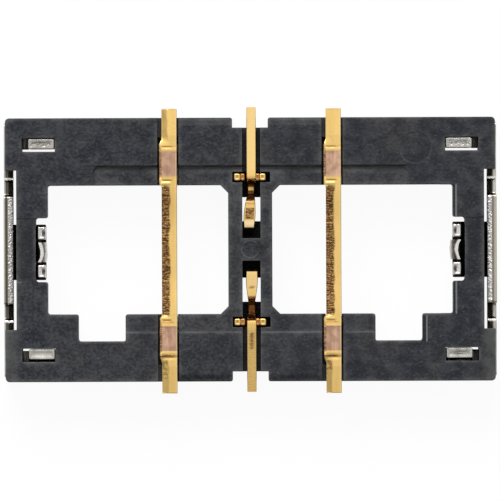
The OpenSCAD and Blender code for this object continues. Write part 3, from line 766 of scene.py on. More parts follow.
def flat_rim(node, x):
    """The rim of a node's flat side at that x, as points in y and z, in order. The step from each rim point
    to the next is applied to 1, 2, 4 and more points at once until all are found."""
    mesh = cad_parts[node].data
    points = np.empty(3 * len(mesh.vertices))
    mesh.vertices.foreach_get("co", points)
    corners = np.empty(len(mesh.loops), dtype=int)
    mesh.loops.foreach_get("vertex_index", corners)
    cells, merged = np.unique(np.round(points.reshape(-1, 3) / MERGE), axis=0, return_inverse=True)
    triangles = merged.reshape(-1)[corners].reshape(-1, 3)
    places = cells * MERGE
    flat = triangles[(abs(places[triangles, 0] - x) < 10 * MERGE).all(axis=1)]
    edges = flat[:, [[0, 1], [1, 2], [2, 0]]].reshape(-1, 2)
    forth = edges[:, 0] * len(cells) + edges[:, 1]
    back = edges[:, 1] * len(cells) + edges[:, 0]
    rim = edges[~np.isin(forth, back)]
    jump = np.zeros(len(cells), dtype=int)
    jump[rim[:, 0]] = rim[:, 1]
    order = rim[:1, 0]
    while len(order) < len(rim):
        order = np.concatenate([order, jump[order]])
        jump = jump[jump]
    return places[order[: len(rim)], 1:]


def distances(path):
    """How far along the path each of its points lies."""
    return np.concatenate([[0], np.cumsum(np.linalg.norm(np.diff(path, axis=0), axis=1))])


def points_at(path, where):
    """The points of a path at those distances along it."""
    length = distances(path)
    return np.stack([np.interp(where, length, path[:, k]) for k in range(2)], axis=1)


def even_rim(rim, step):
    """A closed outline with points at even distances."""
    path = np.vstack([rim, rim[:1]])
    whole = distances(path)[-1]
    return points_at(path, np.linspace(0, whole, int(round(whole / step)), endpoint=False))


def unit(vectors):
    """Vectors of length 1 in the same directions."""
    return vectors / np.linalg.norm(vectors, axis=-1, keepdims=True)


def outward(rim):
    """Directions out of a closed outline, from the difference of each point's neighbours, averaged over
    a few points so that a small step inwards never crosses itself at a sharp corner."""
    along = unit(np.roll(rim, -1, axis=0) - np.roll(rim, 1, axis=0))
    area = (rim[:, 0] * np.roll(rim[:, 1], -1) - rim[:, 1] * np.roll(rim[:, 0], -1)).sum()
    straight = np.stack([along[:, 1], -along[:, 0]], axis=1) * np.sign(area)
    return sum(np.roll(straight, k, axis=0) for k in range(-2, 3)) / 5


print("helpers for outlines are ready")

# %% [markdown]
# ## A sheared edge
# Across the thickness, a stamped edge has three parts: a rounded roll-over where the punch pressed in, a
# smooth band, and a torn band that falls back. A bevel would round both sides alike, so the outline is
# moved inwards by that profile instead, and the torn band gets real ridges that run across the sheet.

# %% Sheared plate
ROWS = 30
EDGE_STEP = mm(0.005)
ROLL_SHARE = 0.04
ROLL_OVER = mm(0.005)
ROLL_STEEP = 0.98
RIDGES = mm(0.0006)
LONG_RIDGE = (9, 1.6)
SHORT_RIDGE = (1.5, 1.5)
SHORT_SHARE = 0.7
RIDGE_LIFT = 1.2
MARGIN = mm(0.001)
SHARE_SPREAD = 0.03


def sheared_plate(rim, torn_side, smooth_side, share, torn_amount, fall, seed):
    """An outline carried across the thickness, along x. At the part t of the way from the torn to the smooth
    side it is moved inwards by a quarter ellipse near t = 1, and by a slope plus ridges where t is below
    share. share, torn_amount and fall say for each outline point how wide, torn and sloped its edge is."""
    t = 0.5 - 0.5 * np.cos(np.pi * np.linspace(0, 1, ROWS))[:, None]
    share = share + SHARE_SPREAD * unevenness(1, len(rim), 1, 6, seed)
    torn = torn_amount * (1 - eased(share - 2 * SHARE_SPREAD, share + SHARE_SPREAD, t))
    roll = np.clip((t - 1) / ROLL_SHARE + 1, 0, 1)
    inset = MARGIN + ROLL_OVER * (1 - np.sqrt(1 - ROLL_STEEP * roll**2))
    inset = inset + fall * np.clip(1 - t / share, 0, 1)
    ridges = unevenness(ROWS, len(rim), *LONG_RIDGE, seed + 1)
    ridges = ridges + SHORT_SHARE * unevenness(ROWS, len(rim), *SHORT_RIDGE, seed + 2)
    inset = inset + torn * RIDGES * np.clip(ridges + RIDGE_LIFT, 0, 3)
    flat = rim[None] - outward(rim)[None] * inset[..., None]
    across = torn_side + (smooth_side - torn_side) * t + 0 * inset
    return np.insert(flat, 0, across, axis=2), t, {"torn": torn}


def clean_sides(masks):
    """The same masks with nothing on the plate's two flat sides, which are the first and the last row."""
    inner = np.ones((ROWS, 1))
    inner[[0, -1]] = 0
    return {name: mask * inner for name, mask in masks.items()}


print("sheared plates are ready")

# %% [markdown]
# ## The power terminals
# Each is a thick plate that stands on edge across a window. Its top edge is what the photograph shows: bare
# cut faces over the two long walls, brown torn metal along the left half of the bar in the window, and tails
# that are smooth and lean a little outwards. Small folds and brown creases lie on both sides of each cut
# face, and the front tails have a groove and a scraped patch. A bump map could show these, but they catch
# the light as real relief does, so they move the points themselves.

# %% Top edge of a power terminal
BAR_TOP = mm(0.606)
FACE_TOP = mm(0.6165)
BAR_TO_FACE = mm(0.2, 0.56)
CUT_FACE = mm(0.642, 0.848)
TAIL_FROM = mm(0.896, 0.985)
TAIL_LEAN = math.tan(math.radians(2.2))
LEFT_PART = (0.5, 0.68)
FOLDS = np.array([
    (0.884, 0.009, -0.0016, 0.5, 0), (0.866, 0.012, 0.0009, 0.2, 1), (0.640, 0.010, 0.0009, 0.3, 1),
    (0.597, 0.009, -0.0024, 1, 1), (0.577, 0.010, 0.0016, 1, 1),
])
CREASES = np.array([(0.891, 0.005, 0.15), (0.606, 0.005, 1)])
CREASE_DULL = 0.95
CREASE_PART = (0.6, 0.85)


def top_edge(reach, t, front):
    """Height of the top edge at that distance from the plate's middle: the bar, a long eased rise to the
    cut face, minus the lean of the tail, plus a bell curve for each fold, which fades towards the right and
    may be weaker on the front half."""
    level = BAR_TOP + (FACE_TOP - BAR_TOP) * eased(*BAR_TO_FACE, reach)
    lean = TAIL_LEAN * np.maximum(reach - TAIL_FROM[1], 0)
    spot, width, depth, fading, in_front = FOLDS.T[:, :, None, None]
    bells = MM * depth * bell(reach / MM, spot, width) * np.where(front, in_front, 1)
    return level - lean + (bells * (1 - fading * eased(*LEFT_PART, t))).sum(axis=0)


def brown_creases(reach, t, front):
    """Tarnish in the creases, as the larger of two bell curves along the edge, fading towards the right."""
    spot, width, in_front = CREASES.T[:, :, None]
    bells = bell(reach / MM, spot, width) * np.where(front, in_front, 1)
    return CREASE_DULL * bells.max(axis=0) * (1 - eased(*CREASE_PART, t))


print("the folds lie", FOLDS[:, 0].tolist(), "mm from the middle")

# %% [markdown]
# ## Swollen flanks
# Where the cut squeezed the plate, its flanks swell and fill the slots of the moulding. The flare is much
# larger on the left. It could be pulled out of the plate's own grid, but that has too few rows there, so
# each flare is a small closed surface of its own that runs into the plate.

# %% Flares on the flanks
PLATE = mm(0.13)
SWELL_SPAN = mm(0.548, 0.975)
LEFT_SWELL = mm(0.021, 0.53, 0.6145)
RIGHT_SWELL = mm(0.0046, 0.3, 0.468)
SWELL_GRID = (20, 60)
SWELL_DIP = mm(0.003)
SWELL_TURN = 0.7
SWELL_ENDS = (0.06, 0.82, 0.98)
SWELL_FOOT = 0.4
SWELL_EVEN = (0.92, 0.06)
SWELL_CUT = 0.32
TAIL_FALL = mm(0.012)
GROOVE = mm(0.894, 0.014)


def swelling(flank, hand, shape, middle, side, seed):
    """A flare on a flank. Up its side it stands out by the product of two arches, one along the plate and
    one up it. Then it turns level and runs into the plate, lower along the cut face and the tail."""
    out, low, high = shape
    rows, columns = SWELL_GRID
    u = np.linspace(0, 1, columns)
    v = np.linspace(0, 1, rows)[:, None]
    rise = np.clip(v / SWELL_TURN, 0, 1)
    turn = np.clip((v - SWELL_TURN) / (1 - SWELL_TURN), 0, 1)
    reach = SWELL_SPAN[0] + (SWELL_SPAN[1] - SWELL_SPAN[0]) * u + 0 * v
    face = between(*CUT_FACE, PLATE / 3, reach)
    z = low + (high - SWELL_DIP * face - TAIL_FALL * eased(*TAIL_FROM, reach) - low) * rise
    arch = eased(0, SWELL_ENDS[0], u) * (1 - eased(*SWELL_ENDS[1:], u)) * eased(0, SWELL_FOOT, rise)
    even, uneven = SWELL_EVEN
    arch = arch * np.clip(even + uneven * unevenness(rows, columns, 2, 2, seed), 0, 1)
    stand = out * arch * (1 - turn) - PLATE / 8 * turn
    front = np.stack([flank + hand * stand, middle + side * reach, z], axis=-1)
    back = np.stack([flank - hand * PLATE / 8 + 0 * z, middle + side * reach, z], axis=-1)
    grid = np.concatenate([front, back[:, ::-1]], axis=1)
    reach = abs(grid[..., 1] - middle)
    masks = {"torn": between(*CUT_FACE, PLATE / 12, reach)}
    masks["cut"] = SWELL_CUT * between(*CUT_FACE, PLATE / 5, reach)
    lay(masks, "torn", (side < 0) * bell(reach, *GROOVE))
    return shell(grid, masks)


print("flares reach", LEFT_SWELL[0] / MM, "and", RIGHT_SWELL[0] / MM, "mm out")

# %% [markdown]
# ## The plate of a power terminal
# The plate is sheared along the whole outline, but only its top edge is dressed. The torn half slopes down
# to the left, the tails slope in the same way, and at their tips the corner sinks with the slope, so that
# no bright dot is left there. The back tail of the right-hand terminal is nearly flat in the photograph.

# %% Looks of the power terminals
WALL_INNER = mm(0.55)
TOP_LEVEL = mm(0.575)
SIDE_LEVEL = mm(0.46)
TIP_ROUND = mm(0.006)
TORN_FALL = mm(0.008)
BAR_SHARE = 0.54
TAIL_SHARE = 0.42
CUT_END = (0.96, 0.99)
# A painted highlight along the right edge of the top, standing in for the reflection of its rounded
# roll-over.
EDGE_HIGHLIGHT = 0.5
HIGHLIGHT_PART = (0.88, 0.95)
SCRAPED_PART = (0.1, 0.32, 0.12)
SCRAPED_TORN = 0.75
GROOVE_DIP = mm(0.908, 0.013)
GROOVE_DEPTH = mm(0.003)
BLADES = {
    "power_terminal_left": {
        "seed": 11, "back_fall": 1.0, "scraped": mm(0.945, 1.07), "patches": (-1.3, 0.3),
    },
    "power_terminal_right": {
        "seed": 31, "back_fall": 0.35, "scraped": mm(0.945, 1.03), "patches": (-0.5, 0.9),
    },
}
print("the plates are torn on", BAR_SHARE, "of their thickness at the bar and", TAIL_SHARE, "at the tails")

# %% Power terminals
def power_terminal(node, seed, back_fall, scraped, patches):
    """The sheared plate of one power terminal, from the rim of the CAD node's flat right side. Its top edge
    is raised or lowered to the formula of top_edge, its torn half and its tails slope to the left, and the
    two flares of each end are added."""
    low, high = (np.array(corner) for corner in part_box(node))
    middle = (low[1] + high[1]) / 2
    tip = (high[1] - low[1]) / 2
    flank = high[0] - PLATE
    rim = even_rim(flat_rim(node, high[0]), EDGE_STEP)
    reach = abs(rim[:, 0] - middle)
    front = rim[:, 0] < middle
    at_tip = eased(tip - TIP_ROUND, tip, reach)
    upper = eased(TOP_LEVEL, TOP_LEVEL + PLATE / 10, rim[:, 1])
    top = upper * (1 - at_tip)
    tail = upper * eased(*TAIL_FROM, reach)
    on_wall = eased(WALL_INNER - PLATE / 8, WALL_INNER + PLATE / 8, reach)
    on_wall = on_wall * eased(SIDE_LEVEL, SIDE_LEVEL + PLATE / 4, rim[:, 1])
    tail_fall = TAIL_FALL * np.where(front, 1, back_fall)
    fall = TORN_FALL * (1 - on_wall) + tail_fall * tail
    share = BAR_SHARE + (TAIL_SHARE - BAR_SHARE) * tail
    grid, t, masks = sheared_plate(rim, flank, high[0], share, 1 - on_wall, fall, seed)

    grooved = top * front * (1 - 0.5 * eased(*CREASE_PART, t))
    tip_top = rim[at_tip > 0, 1].max()
    tip_part = eased(TOP_LEVEL - 0.3 * PLATE, TOP_LEVEL + PLATE / 10, rim[:, 1])
    sunk = tail_fall * np.clip(1 - t / TAIL_SHARE, 0, 1) * (1 - outward(rim)[:, 1])
    grid[..., 2] += top * (top_edge(reach, t, front) - rim[:, 1])
    grid[..., 2] += at_tip * tip_part * (top_edge(tip + 0 * reach, t, front) - tip_top)
    grid[..., 2] -= sunk * tip_part * (reach > tip - 4 * EDGE_STEP)
    grid[..., 2] -= GROOVE_DEPTH * grooved * bell(reach, *GROOVE_DIP)

    spots = eased(*patches, unevenness(ROWS, len(rim), 3, 2, seed + 3))
    spots = spots * top * front * between(*scraped, PLATE / 5, reach) * between(*SCRAPED_PART, t)
    lay(masks, "torn", SCRAPED_TORN * spots)
    lay(masks, "torn", grooved * bell(reach, *GROOVE))
    masks["cut"] = top * between(*CUT_FACE, PLATE / 20, reach) * (1 - eased(*CUT_END, t))
    # Painted highlight along the right edge of the top.
    masks["rubbed_and_highlight"] = EDGE_HIGHLIGHT * top * eased(*HIGHLIGHT_PART, t)
    masks["dull_and_shade"] = top * brown_creases(reach, t, front)

    shells = [shell(grid, clean_sides(masks))]
    for side in (-1, 1):
        shells.append(swelling(flank, -1, LEFT_SWELL, middle, side, seed + 5 + side))
        shells.append(swelling(high[0], 1, RIGHT_SWELL, middle, side, seed + 8 + side))
    put_piece(node + "_blade", shells, gold, node)


for node, look in BLADES.items():
    power_terminal(node, **look)

# %% [markdown]
# ## A formed strip
# The signal terminals and most of the end clips are strip bent along a path. Such a piece is a profile
# carried along that path: a rectangle with rounded corners, whose width may change on the way. At both ends
# the profile shrinks over a rounded rim to a slightly hollow, torn face, where the strip was cut off. A curve
# with a bevel would be quicker to make, but its ends are flat and it carries no masks.

# %% Bent path
ARC_PART = np.linspace(0, 1, 13)


def bent_path(corners):
    """The points of a path through corners (a, b, radius). Each corner is replaced by the arc of that
    radius which touches both its sides: it starts radius times tan(half the turn) before the corner."""
    corners = np.asarray(corners, dtype=float)
    spot, radius = corners[:, :2], corners[:, 2:]
    arrive = unit(spot - np.roll(spot, 1, axis=0))
    leave = np.roll(arrive, -1, axis=0)
    arrive[0], leave[-1] = leave[0], arrive[-1]
    cross = arrive[:, 0] * leave[:, 1] - arrive[:, 1] * leave[:, 0]
    turn = np.arctan2(cross, (arrive * leave).sum(axis=1))[:, None]
    left = np.stack([-arrive[:, 1], arrive[:, 0]], axis=1)
    arm = -left * np.where(turn < 0, -1.0, 1.0) * radius
    middle = spot - arrive * radius * np.tan(abs(turn) / 2) - arm
    angle = turn * ARC_PART
    a = middle[:, :1] + arm[:, :1] * np.cos(angle) - arm[:, 1:] * np.sin(angle)
    b = middle[:, 1:] + arm[:, :1] * np.sin(angle) + arm[:, 1:] * np.cos(angle)
    path = np.stack([a.ravel(), b.ravel()], axis=1)
    fresh = np.linalg.norm(np.diff(path, axis=0, prepend=path[:1] - 1), axis=1) > MERGE
    return path[fresh]


print("a bend has", len(ARC_PART), "points")

# %% Formed strip
STRIP_STEP = mm(0.008)
PROFILE_POINTS = 60
SQUARE = 0.16
RIM = 0.16
HOLLOW_INSET = np.array([0.8, 0.5])
HOLLOW_DEPTH = np.array([0.1, 0.05])
QUARTER = np.radians([90, 66, 44, 22])
STRIP_DENTS = 0.02
SIDE_TORN = 0.6
SIDE_PART = (0.9, 0.99)
UPPER_PART = (-0.2, 0.2)
END_PART = (0.3, 0.6)


def formed_strip(corners, thickness, axis, middle, width, seed, rim=RIM, square=SQUARE):
    """A rounded rectangle carried along a bent path in the plane across the axis: half the width times
    cos(angle)^k one way and half the thickness times sin(angle)^k the other, with a small k for square
    corners. At both ends the profile shrinks by rim times 1 - cos and advances by rim times 1 - sin of a
    quarter turn, in half thicknesses, and two more loops make the face of the end a little hollow."""
    h = thickness / 2
    path = bent_path(corners)
    whole = distances(path)[-1]
    end_inset = np.concatenate([HOLLOW_INSET, rim * (1 - np.cos(QUARTER))])
    end_depth = np.concatenate([HOLLOW_DEPTH, rim * (1 - np.sin(QUARTER))])
    body = np.linspace(h * rim, whole - h * rim, max(4, int(round(whole / STRIP_STEP))))
    where = np.concatenate([h * end_depth, body, whole - h * end_depth[::-1]])
    inset = np.concatenate([end_inset, 0 * body, end_inset[::-1]])[:, None] * h
    spot = points_at(path, where)
    ahead = points_at(path, np.clip(where + STRIP_STEP / 2, 0, whole))
    behind = points_at(path, np.clip(where - STRIP_STEP / 2, 0, whole))
    along = unit(ahead - behind)
    out = np.stack([-along[:, 1], along[:, 0]], axis=1)
    angle = np.linspace(0, 2 * np.pi, PROFILE_POINTS, endpoint=False)
    lift = np.sign(np.sin(angle)) * np.abs(np.sin(angle)) ** square
    wide = np.sign(np.cos(angle)) * np.abs(np.cos(angle)) ** square
    half = np.broadcast_to(width(spot) / 2 if callable(width) else width / 2, len(spot))[:, None]
    dents = STRIP_DENTS * h * np.clip(unevenness(len(spot), PROFILE_POINTS, 3, 2, seed), 0, 2)
    flat = spot[:, None] + out[:, None] * (lift * (h - inset - dents))[..., None]
    grid = np.insert(flat, axis, middle + wide * (half - inset), axis=2)
    masks = {"torn": eased(*END_PART, inset / h) + 0 * grid[..., 0]}
    lay(masks, "torn", SIDE_TORN * eased(*SIDE_PART, abs(wide)) * eased(*UPPER_PART, lift))
    return grid, masks


def turned(grid, side):
    """The points, turned half round about the vertical axis where the side is -1."""
    return grid * np.array([side, side, 1])


print("a strip's profile has", PROFILE_POINTS, "points")

# %% [markdown]
# ## The signal terminals
# Each is a narrow strip: a tail that leaves the moulding, an upright plate with wings that hold it in its
# slot, a deep bend, and a crown that is coined wider and springs on the plug. The bends of tail and crown
# are pressed nearly square. A plain bend would be round there, so the top is raised after bending.

# %% Shape of a signal strip
SIGNAL_T = mm(0.06)
TAIL_W = mm(0.08)
NECK_W = mm(0.062)
CROWN_W = mm(0.1)
SIGNAL_PATH = MM * np.array([
    (1.213, 0.562, 0), (0.618, 0.589, 0.028), (0.618, 0.135, 0.09), (0.445, 0.135, 0.036),
    (0.415, 0.49, 0.06), (0.2, 0.49, 0.022), (0.242, 0.135, 0.05), (0.325, 0.165, 0),
])
NECK_SPAN = mm(0.558, 0.59)
TAIL_RISE = 0.0454
TOPMOST = mm(0.6185)
CROWN_TOP = mm(0.52)
CROWN_SIDE = mm(0.5)
PRESS = mm(0.035)
LONG_EDGE = (0.9, 0.98)


def signal_width(y, crown):
    """The strip's width along its path: even tail, narrow neck and a crown that is coined wider by an arch
    of one minus the square of the distance from its middle."""
    even = NECK_W + (TAIL_W - NECK_W) * eased(*NECK_SPAN, y)
    middle, half = crown
    return even + (CROWN_W - NECK_W) * np.clip(1 - ((y - middle) / half) ** 2, 0, 1)


def pressed(y, z, wide):
    """Bends pressed square on top. Where the strip lies less than PRESS below the flat top of its tail or
    crown, by the part s of PRESS, it is raised to s^4. The strip's own long edges keep their rounding."""
    tail_top = SIGNAL_PATH[0, 1] + SIGNAL_T / 2 + TAIL_RISE * (SIGNAL_PATH[0, 0] - y)
    top = np.where(y > CROWN_SIDE, np.minimum(tail_top, TOPMOST), CROWN_TOP)
    s = np.clip((top - z) / PRESS, 0, None)
    flat = np.where(s < 1, top - PRESS * s**4, z)
    return z + (flat - z) * (1 - eased(*LONG_EDGE, wide))


print("the strip is", round(distances(bent_path(SIGNAL_PATH))[-1] / MM, 3), "mm long")

# %% Wings of a signal terminal
PLATE_Y = mm(0.618)
WING_FOOT = mm(0.285)
WING_SHIFT = mm(-0.012)
WINGS = ((*mm(0.064, 0.046, 0.545), 0.8), (*mm(0.108, 0.056, 0.588), 0.0))
WING_RIM = 0.3
WING_SQUARE = 0.42
WING_SPOT = (0.3, 0.5)
WING_DULL = 0.75


def wing_post(wing_x, width, top, brown, seed):
    """An upright post of a wing, brown all over or with a darker spot in the middle of its end, which fades
    with the distance from the middle."""
    upright = [(PLATE_Y, WING_FOOT, 0), (PLATE_Y, top, 0)]
    grid, _ = formed_strip(upright, SIGNAL_T, 0, wing_x, width, seed, WING_RIM, WING_SQUARE)
    from_middle = np.hypot((grid[..., 0] - wing_x) / width, (grid[..., 1] - PLATE_Y) / SIGNAL_T)
    at_end = eased(top - SIGNAL_T / 2, top - SIGNAL_T / 4, grid[..., 2])
    return grid, {"dull_and_shade": np.maximum(brown, WING_DULL * at_end * (1 - eased(*WING_SPOT, 2 * from_middle)))}


print("each wing has", len(WINGS), "posts")

# %% [markdown]
# ## Wear on the signal terminals
# The crowns are worn by probing: the back one has a large dented patch, and the front one a thin brown line.
# The crown's root and the deep bend are darkened by painted shade in brown, apart from the floor of the
# back bend, which is left bright; the crown's end and the back tail get a painted highlight, and the front
# tail is scraped. All of this is told to the material by the masks.

# %% Looks of the signal terminals
CROWN_LEVEL = mm(0.5)
LEAN_SPAN = mm(0.15, 0.6)
SPECKLE_PART = (-0.6, 0.8)
SPECKLE = (0.6, 0.4)
# Painted shade at the crown's root, in the brown of torn metal and in the tarnish colour.
ROOT_SHADE_BROWN = 0.9
ROOT_SHADE_DULL = 0.3
BEND_FLOOR = mm(0.478, 0.53)
SCRAPE_SPAN = mm(0.715, 0.842)
SCRAPE_W = mm(0.018)
TAIL_BEGIN = mm(0.66)
# For each terminal, the entries for the deep bend set its painted shade, which spares the back bend's floor,
# and the entries for the crown's end and the tail set a painted highlight.
STRIPS = {
    "signal_terminal_back": {
        "side": 1, "seed": 51, "crown": mm(0.29, 0.15), "lean": mm(-0.02), "worn": mm(0.262, 0.35, 0.033),
        "worn_dull": 0.0, "dents": mm(0.0009), "end": mm(0.255, 0.235), "end_highlight": 0.9,
        "root": mm(0.375, 0.42), "well": mm(0.2, 0.56), "well_shade": 0.75, "well_torn_shade": 0.0, "floor_lit": 0.75,
        "past_floor": 0.6, "tail_torn": 0.0, "scraped": 0.0, "tail_highlight": 0.2,
    },
    "signal_terminal_front": {
        "side": -1, "seed": 71, "crown": mm(0.248, 0.165), "lean": mm(0.003), "worn": mm(0.314, 0.33, 0.024),
        "worn_dull": 0.95, "dents": 0.0, "end": mm(0.36, 0.33), "end_highlight": 0.25,
        "root": mm(0.388, 0.415), "well": mm(0.3, 0.56), "well_shade": 0.5, "well_torn_shade": 0.9, "floor_lit": 0.0,
        "past_floor": 0.0, "tail_torn": 0.22, "scraped": 0.75, "tail_highlight": 0.0,
    },
}
for node, look in STRIPS.items():
    print(node, "has a crown that leans", round(look["lean"] / MM, 3), "mm")

# %% Signal terminals
def signal_strip(shift, look):
    """The formed strip of one terminal, with its crown leaning sideways, dents in its worn patch, and masks
    that are products of eased spans along y, across x and up z."""
    side, seed = look["side"], look["seed"]
    grid, masks = formed_strip(
        SIGNAL_PATH, SIGNAL_T, 0, shift, lambda spot: signal_width(spot[:, 0], look["crown"]), seed
    )
    x, y, z = np.moveaxis(grid.copy(), 2, 0)
    off = abs(x - shift)
    before_well = 1 - eased(CROWN_SIDE, 1.02 * CROWN_SIDE, y)
    on_crown = eased(CROWN_LEVEL, 1.02 * CROWN_LEVEL, z) * before_well
    on_tail = eased(TAIL_BEGIN, 1.05 * TAIL_BEGIN, y)
    in_well = (1 - eased(*look["well"], z)) * (1 - on_crown)
    root = eased(*look["root"], y) * before_well
    worn_in, worn_out, worn_w = look["worn"]
    worn = on_crown * between(worn_in, worn_out, SIGNAL_T / 10, y) * (1 - eased(worn_w, 1.2 * worn_w, off))
    speckle = eased(*SPECKLE_PART, unevenness(*x.shape, 1.2, 1.2, seed + 1))
    speckle = SPECKLE[0] + SPECKLE[1] * speckle
    dents = np.clip(unevenness(*x.shape, 0.5, 0.6, seed + 3) + 0.5, 0, 2)
    grid[..., 0] += side * look["lean"] * (1 - eased(*LEAN_SPAN, y))
    grid[..., 2] = pressed(y, z, off / off.max(axis=1, keepdims=True)) - look["dents"] * worn * dents

    scraped = between(*SCRAPE_SPAN, SIGNAL_T / 8, y) * (1 - eased(SCRAPE_W, 1.3 * SCRAPE_W, off))
    beyond_floor = eased(BEND_FLOOR[1], BEND_FLOOR[1] + SIGNAL_T / 4, y)
    for torn in (
        worn,
        np.clip(look["tail_torn"] * on_tail + look["scraped"] * scraped, 0, 1),
        # Painted shade in the deep bend and at the crown's root.
        look["well_torn_shade"] * in_well,
        look["past_floor"] * in_well * beyond_floor,
        ROOT_SHADE_BROWN * root,
    ):
        lay(masks, "torn", torn)
    on_floor = between(*BEND_FLOOR, SIGNAL_T / 6, y)
    # Painted shade in the deep bend, apart from the back bend's floor, and at the crown's root.
    lay(masks, "dull_and_shade", look["well_shade"] * in_well * (1 - look["floor_lit"] * on_floor))
    lay(masks, "dull_and_shade", ROOT_SHADE_DULL * root)
    lay(masks, "dull_and_shade", look["worn_dull"] * worn * speckle)
    # Painted highlight on the crown's end and the back tail.
    masks["rubbed_and_highlight"] = look["end_highlight"] * on_crown * eased(*look["end"], y) + look["tail_highlight"] * on_tail
    return grid, masks


for node, look in STRIPS.items():
    low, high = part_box(node)
    side = look["side"]
    shift = side * (low[0] + high[0]) / 2
    parts = [signal_strip(shift, look)]
    for hand in (-1, 1):
        for number, (out, *wing) in enumerate(WINGS):
            wing_x = shift + side * WING_SHIFT + hand * out
            parts.append(wing_post(wing_x, *wing, look["seed"] + 7 * hand + number))
    shells = [shell(turned(grid, side), masks) for grid, masks in parts]
    put_piece(node + "_strip", shells, gold, node)

# %% [markdown]
# ## The end clips
# Each clip is one sheet: an outer wall with a tab, folded under the moulding to two corner legs and to a
# bridge with three spring fingers. The outer wall is a sheared plate. Its top edge is torn on the inner
# half, with a painted highlight along it like a rope, and smooth and stained on the outer half.

# %% Outer wall of a clip
SHEET = mm(0.078)
TAB_LEVEL = mm(0.5)
NOTCH = mm(0.597, 0.617)
WALL_FALL = mm(0.006)
WALL_SHARE = 0.5
# The painted shade behind the moulding covers the inner part of the wall.
WALL_DARK = (0.55, 0.65)
BAND_SOFT = 0.06
ROPE = (0.26, 0.44, BAND_SOFT)
# Share of the painted highlight along the rope.
ROPE_HIGHLIGHT = 0.36
INNER_EDGE = (0.04, 0.17)
INNER_DARK = 0.45


def shade_at(grid, low, high):
    """The mask of painted shade at heights between low and high."""
    return between(low, high, SHEET / 10, grid[..., 2])


def clip_wall(rim, out, band, seed):
    """The sheared plate of the outer wall. Along its thickness t the top edge has a darker inner edge, a rope
    with a painted highlight and a darker band. The notches beside the tab get a painted glint, and painted
    shade darkens the wall behind the moulding."""
    fall = WALL_FALL * (1 - between(*NOTCH, SHEET / 20, abs(rim[:, 0])))
    grid, t, masks = sheared_plate(rim, out - SHEET, out, WALL_SHARE, 1, fall, seed)
    glint = between(*NOTCH, SHEET / 20, abs(grid[..., 1]))
    # Painted shade on the wall behind the moulding.
    dark = shade_at(grid, rim[:, 1].min() + SHEET / 3 + SHEET, TAB_LEVEL) * (1 - eased(*WALL_DARK, t))
    band_in, band_out, band_dark = band
    lay(masks, "dull_and_shade", dark)
    lay(masks, "dull_and_shade", band_dark * between(band_in, band_out, BAND_SOFT, t))
    lay(masks, "dull_and_shade", INNER_DARK * (1 - eased(*INNER_EDGE, t)))
    masks["dull_and_shade"] = masks["dull_and_shade"] * (1 - glint)
    masks["torn"] = masks["torn"] * (1 - glint)
    # Painted glint in the notches, and painted highlight along the rope.
    masks["rubbed_and_highlight"] = np.maximum(glint, ROPE_HIGHLIGHT * between(*ROPE, t))
    return grid, clean_sides(masks)


print("the sheet is", SHEET / MM, "mm thick")

# %% [markdown]
# ## Bridge and fingers
# The bridge and the two outer fingers are formed strips. Painted shade darkens the bridge low under the
# moulding, and each finger's end gets a painted highlight and a dark spot near its middle. The middle finger
# is different: it is bowed into the window and thinned at its end, so it is a surface of its own, with
# painted shade on its front and a painted highlight at its tip. In the photograph the right-hand fingers lie
# a little nearer the middle of the part.

# %% Bowed finger
BOW_HALF = mm(0.084)
BOW_LEVELS = mm(0.14, 0.51)
BOW_THIN = mm(0.075)
BOW_BACK = mm(1.789, 0.023)
BOW_FRONT = mm(1.734, 0.009)
BOW_EDGE = mm(1.764, 0.027)
BOW_GRID = (40, 29)
BOW_ROUGH = mm(0.0012)
BOW_SHADE = (0.55, 0.9, 0.1)
BOW_TIP = (0.97, 1)
BOW_TORN, BOW_SHADE_SHARE, BOW_HIGHLIGHT = 0.3, 0.8, 0.6


def bowed_finger(middle, finger_in, bow_in, seed):
    """Loops at even heights. Across the finger, at the part p from -1 to 1, its back and its front lie at
    a place plus a bow times p squared, and near the top the front eases from one such curve to another."""
    p = np.linspace(-1, 1, BOW_GRID[1])
    z = np.linspace(*BOW_LEVELS, BOW_GRID[0])[:, None]
    thin = eased(BOW_LEVELS[1] - BOW_THIN, BOW_LEVELS[1], z)
    back = BOW_BACK[0] + BOW_BACK[1] * p**2 + 0 * z
    front = BOW_FRONT[0] - bow_in + BOW_FRONT[1] * p**2
    front = front + (BOW_EDGE[0] + BOW_EDGE[1] * p**2 - front) * thin
    x = np.concatenate([back, front[:, ::-1]], axis=1) - finger_in
    y = middle + BOW_HALF * np.concatenate([p, p[::-1]]) + 0 * z
    rough = BOW_ROUGH * unevenness(*x.shape, 2, 2, seed)
    shade = np.concatenate([0 * back, between(*BOW_SHADE, thin) + 0 * front], axis=1)
    # Painted shade on the bowed front, and a painted highlight at the tip.
    masks = {"torn": BOW_TORN * thin + 0 * x, "dull_and_shade": BOW_SHADE_SHARE * shade}
    masks["rubbed_and_highlight"] = BOW_HIGHLIGHT * eased(*BOW_TIP, thin) + 0 * x
    return np.stack([x + rough, y, z + 0 * x], axis=-1), masks


print("the middle finger is bowed by", BOW_EDGE[1] / MM, "mm at its end")

# %% Bridge and fingers of a clip
THIN = SHEET - mm(0.003)
FOLD = mm(0.065)
BASE = SHEET / 2
BRIDGE_W = mm(0.476)
FLANGE_TOP = mm(0.134)
FINGER_X = mm(1.782)
FINGER_T = mm(0.07)
FINGER_W = mm(0.112)
FINGER_OUT = mm(0.163)
FINGER_TOP = mm(0.51)
FINGER_RIM = 0.34
FINGER_SQUARE = 0.24
FINGER_SPOT = mm(0.017, 0.016, 0.023)
SPOT_DARK = (2.2, 0.95)
FINGER_HIGHLIGHT = 0.7
LITTLE_TORN = 0.25


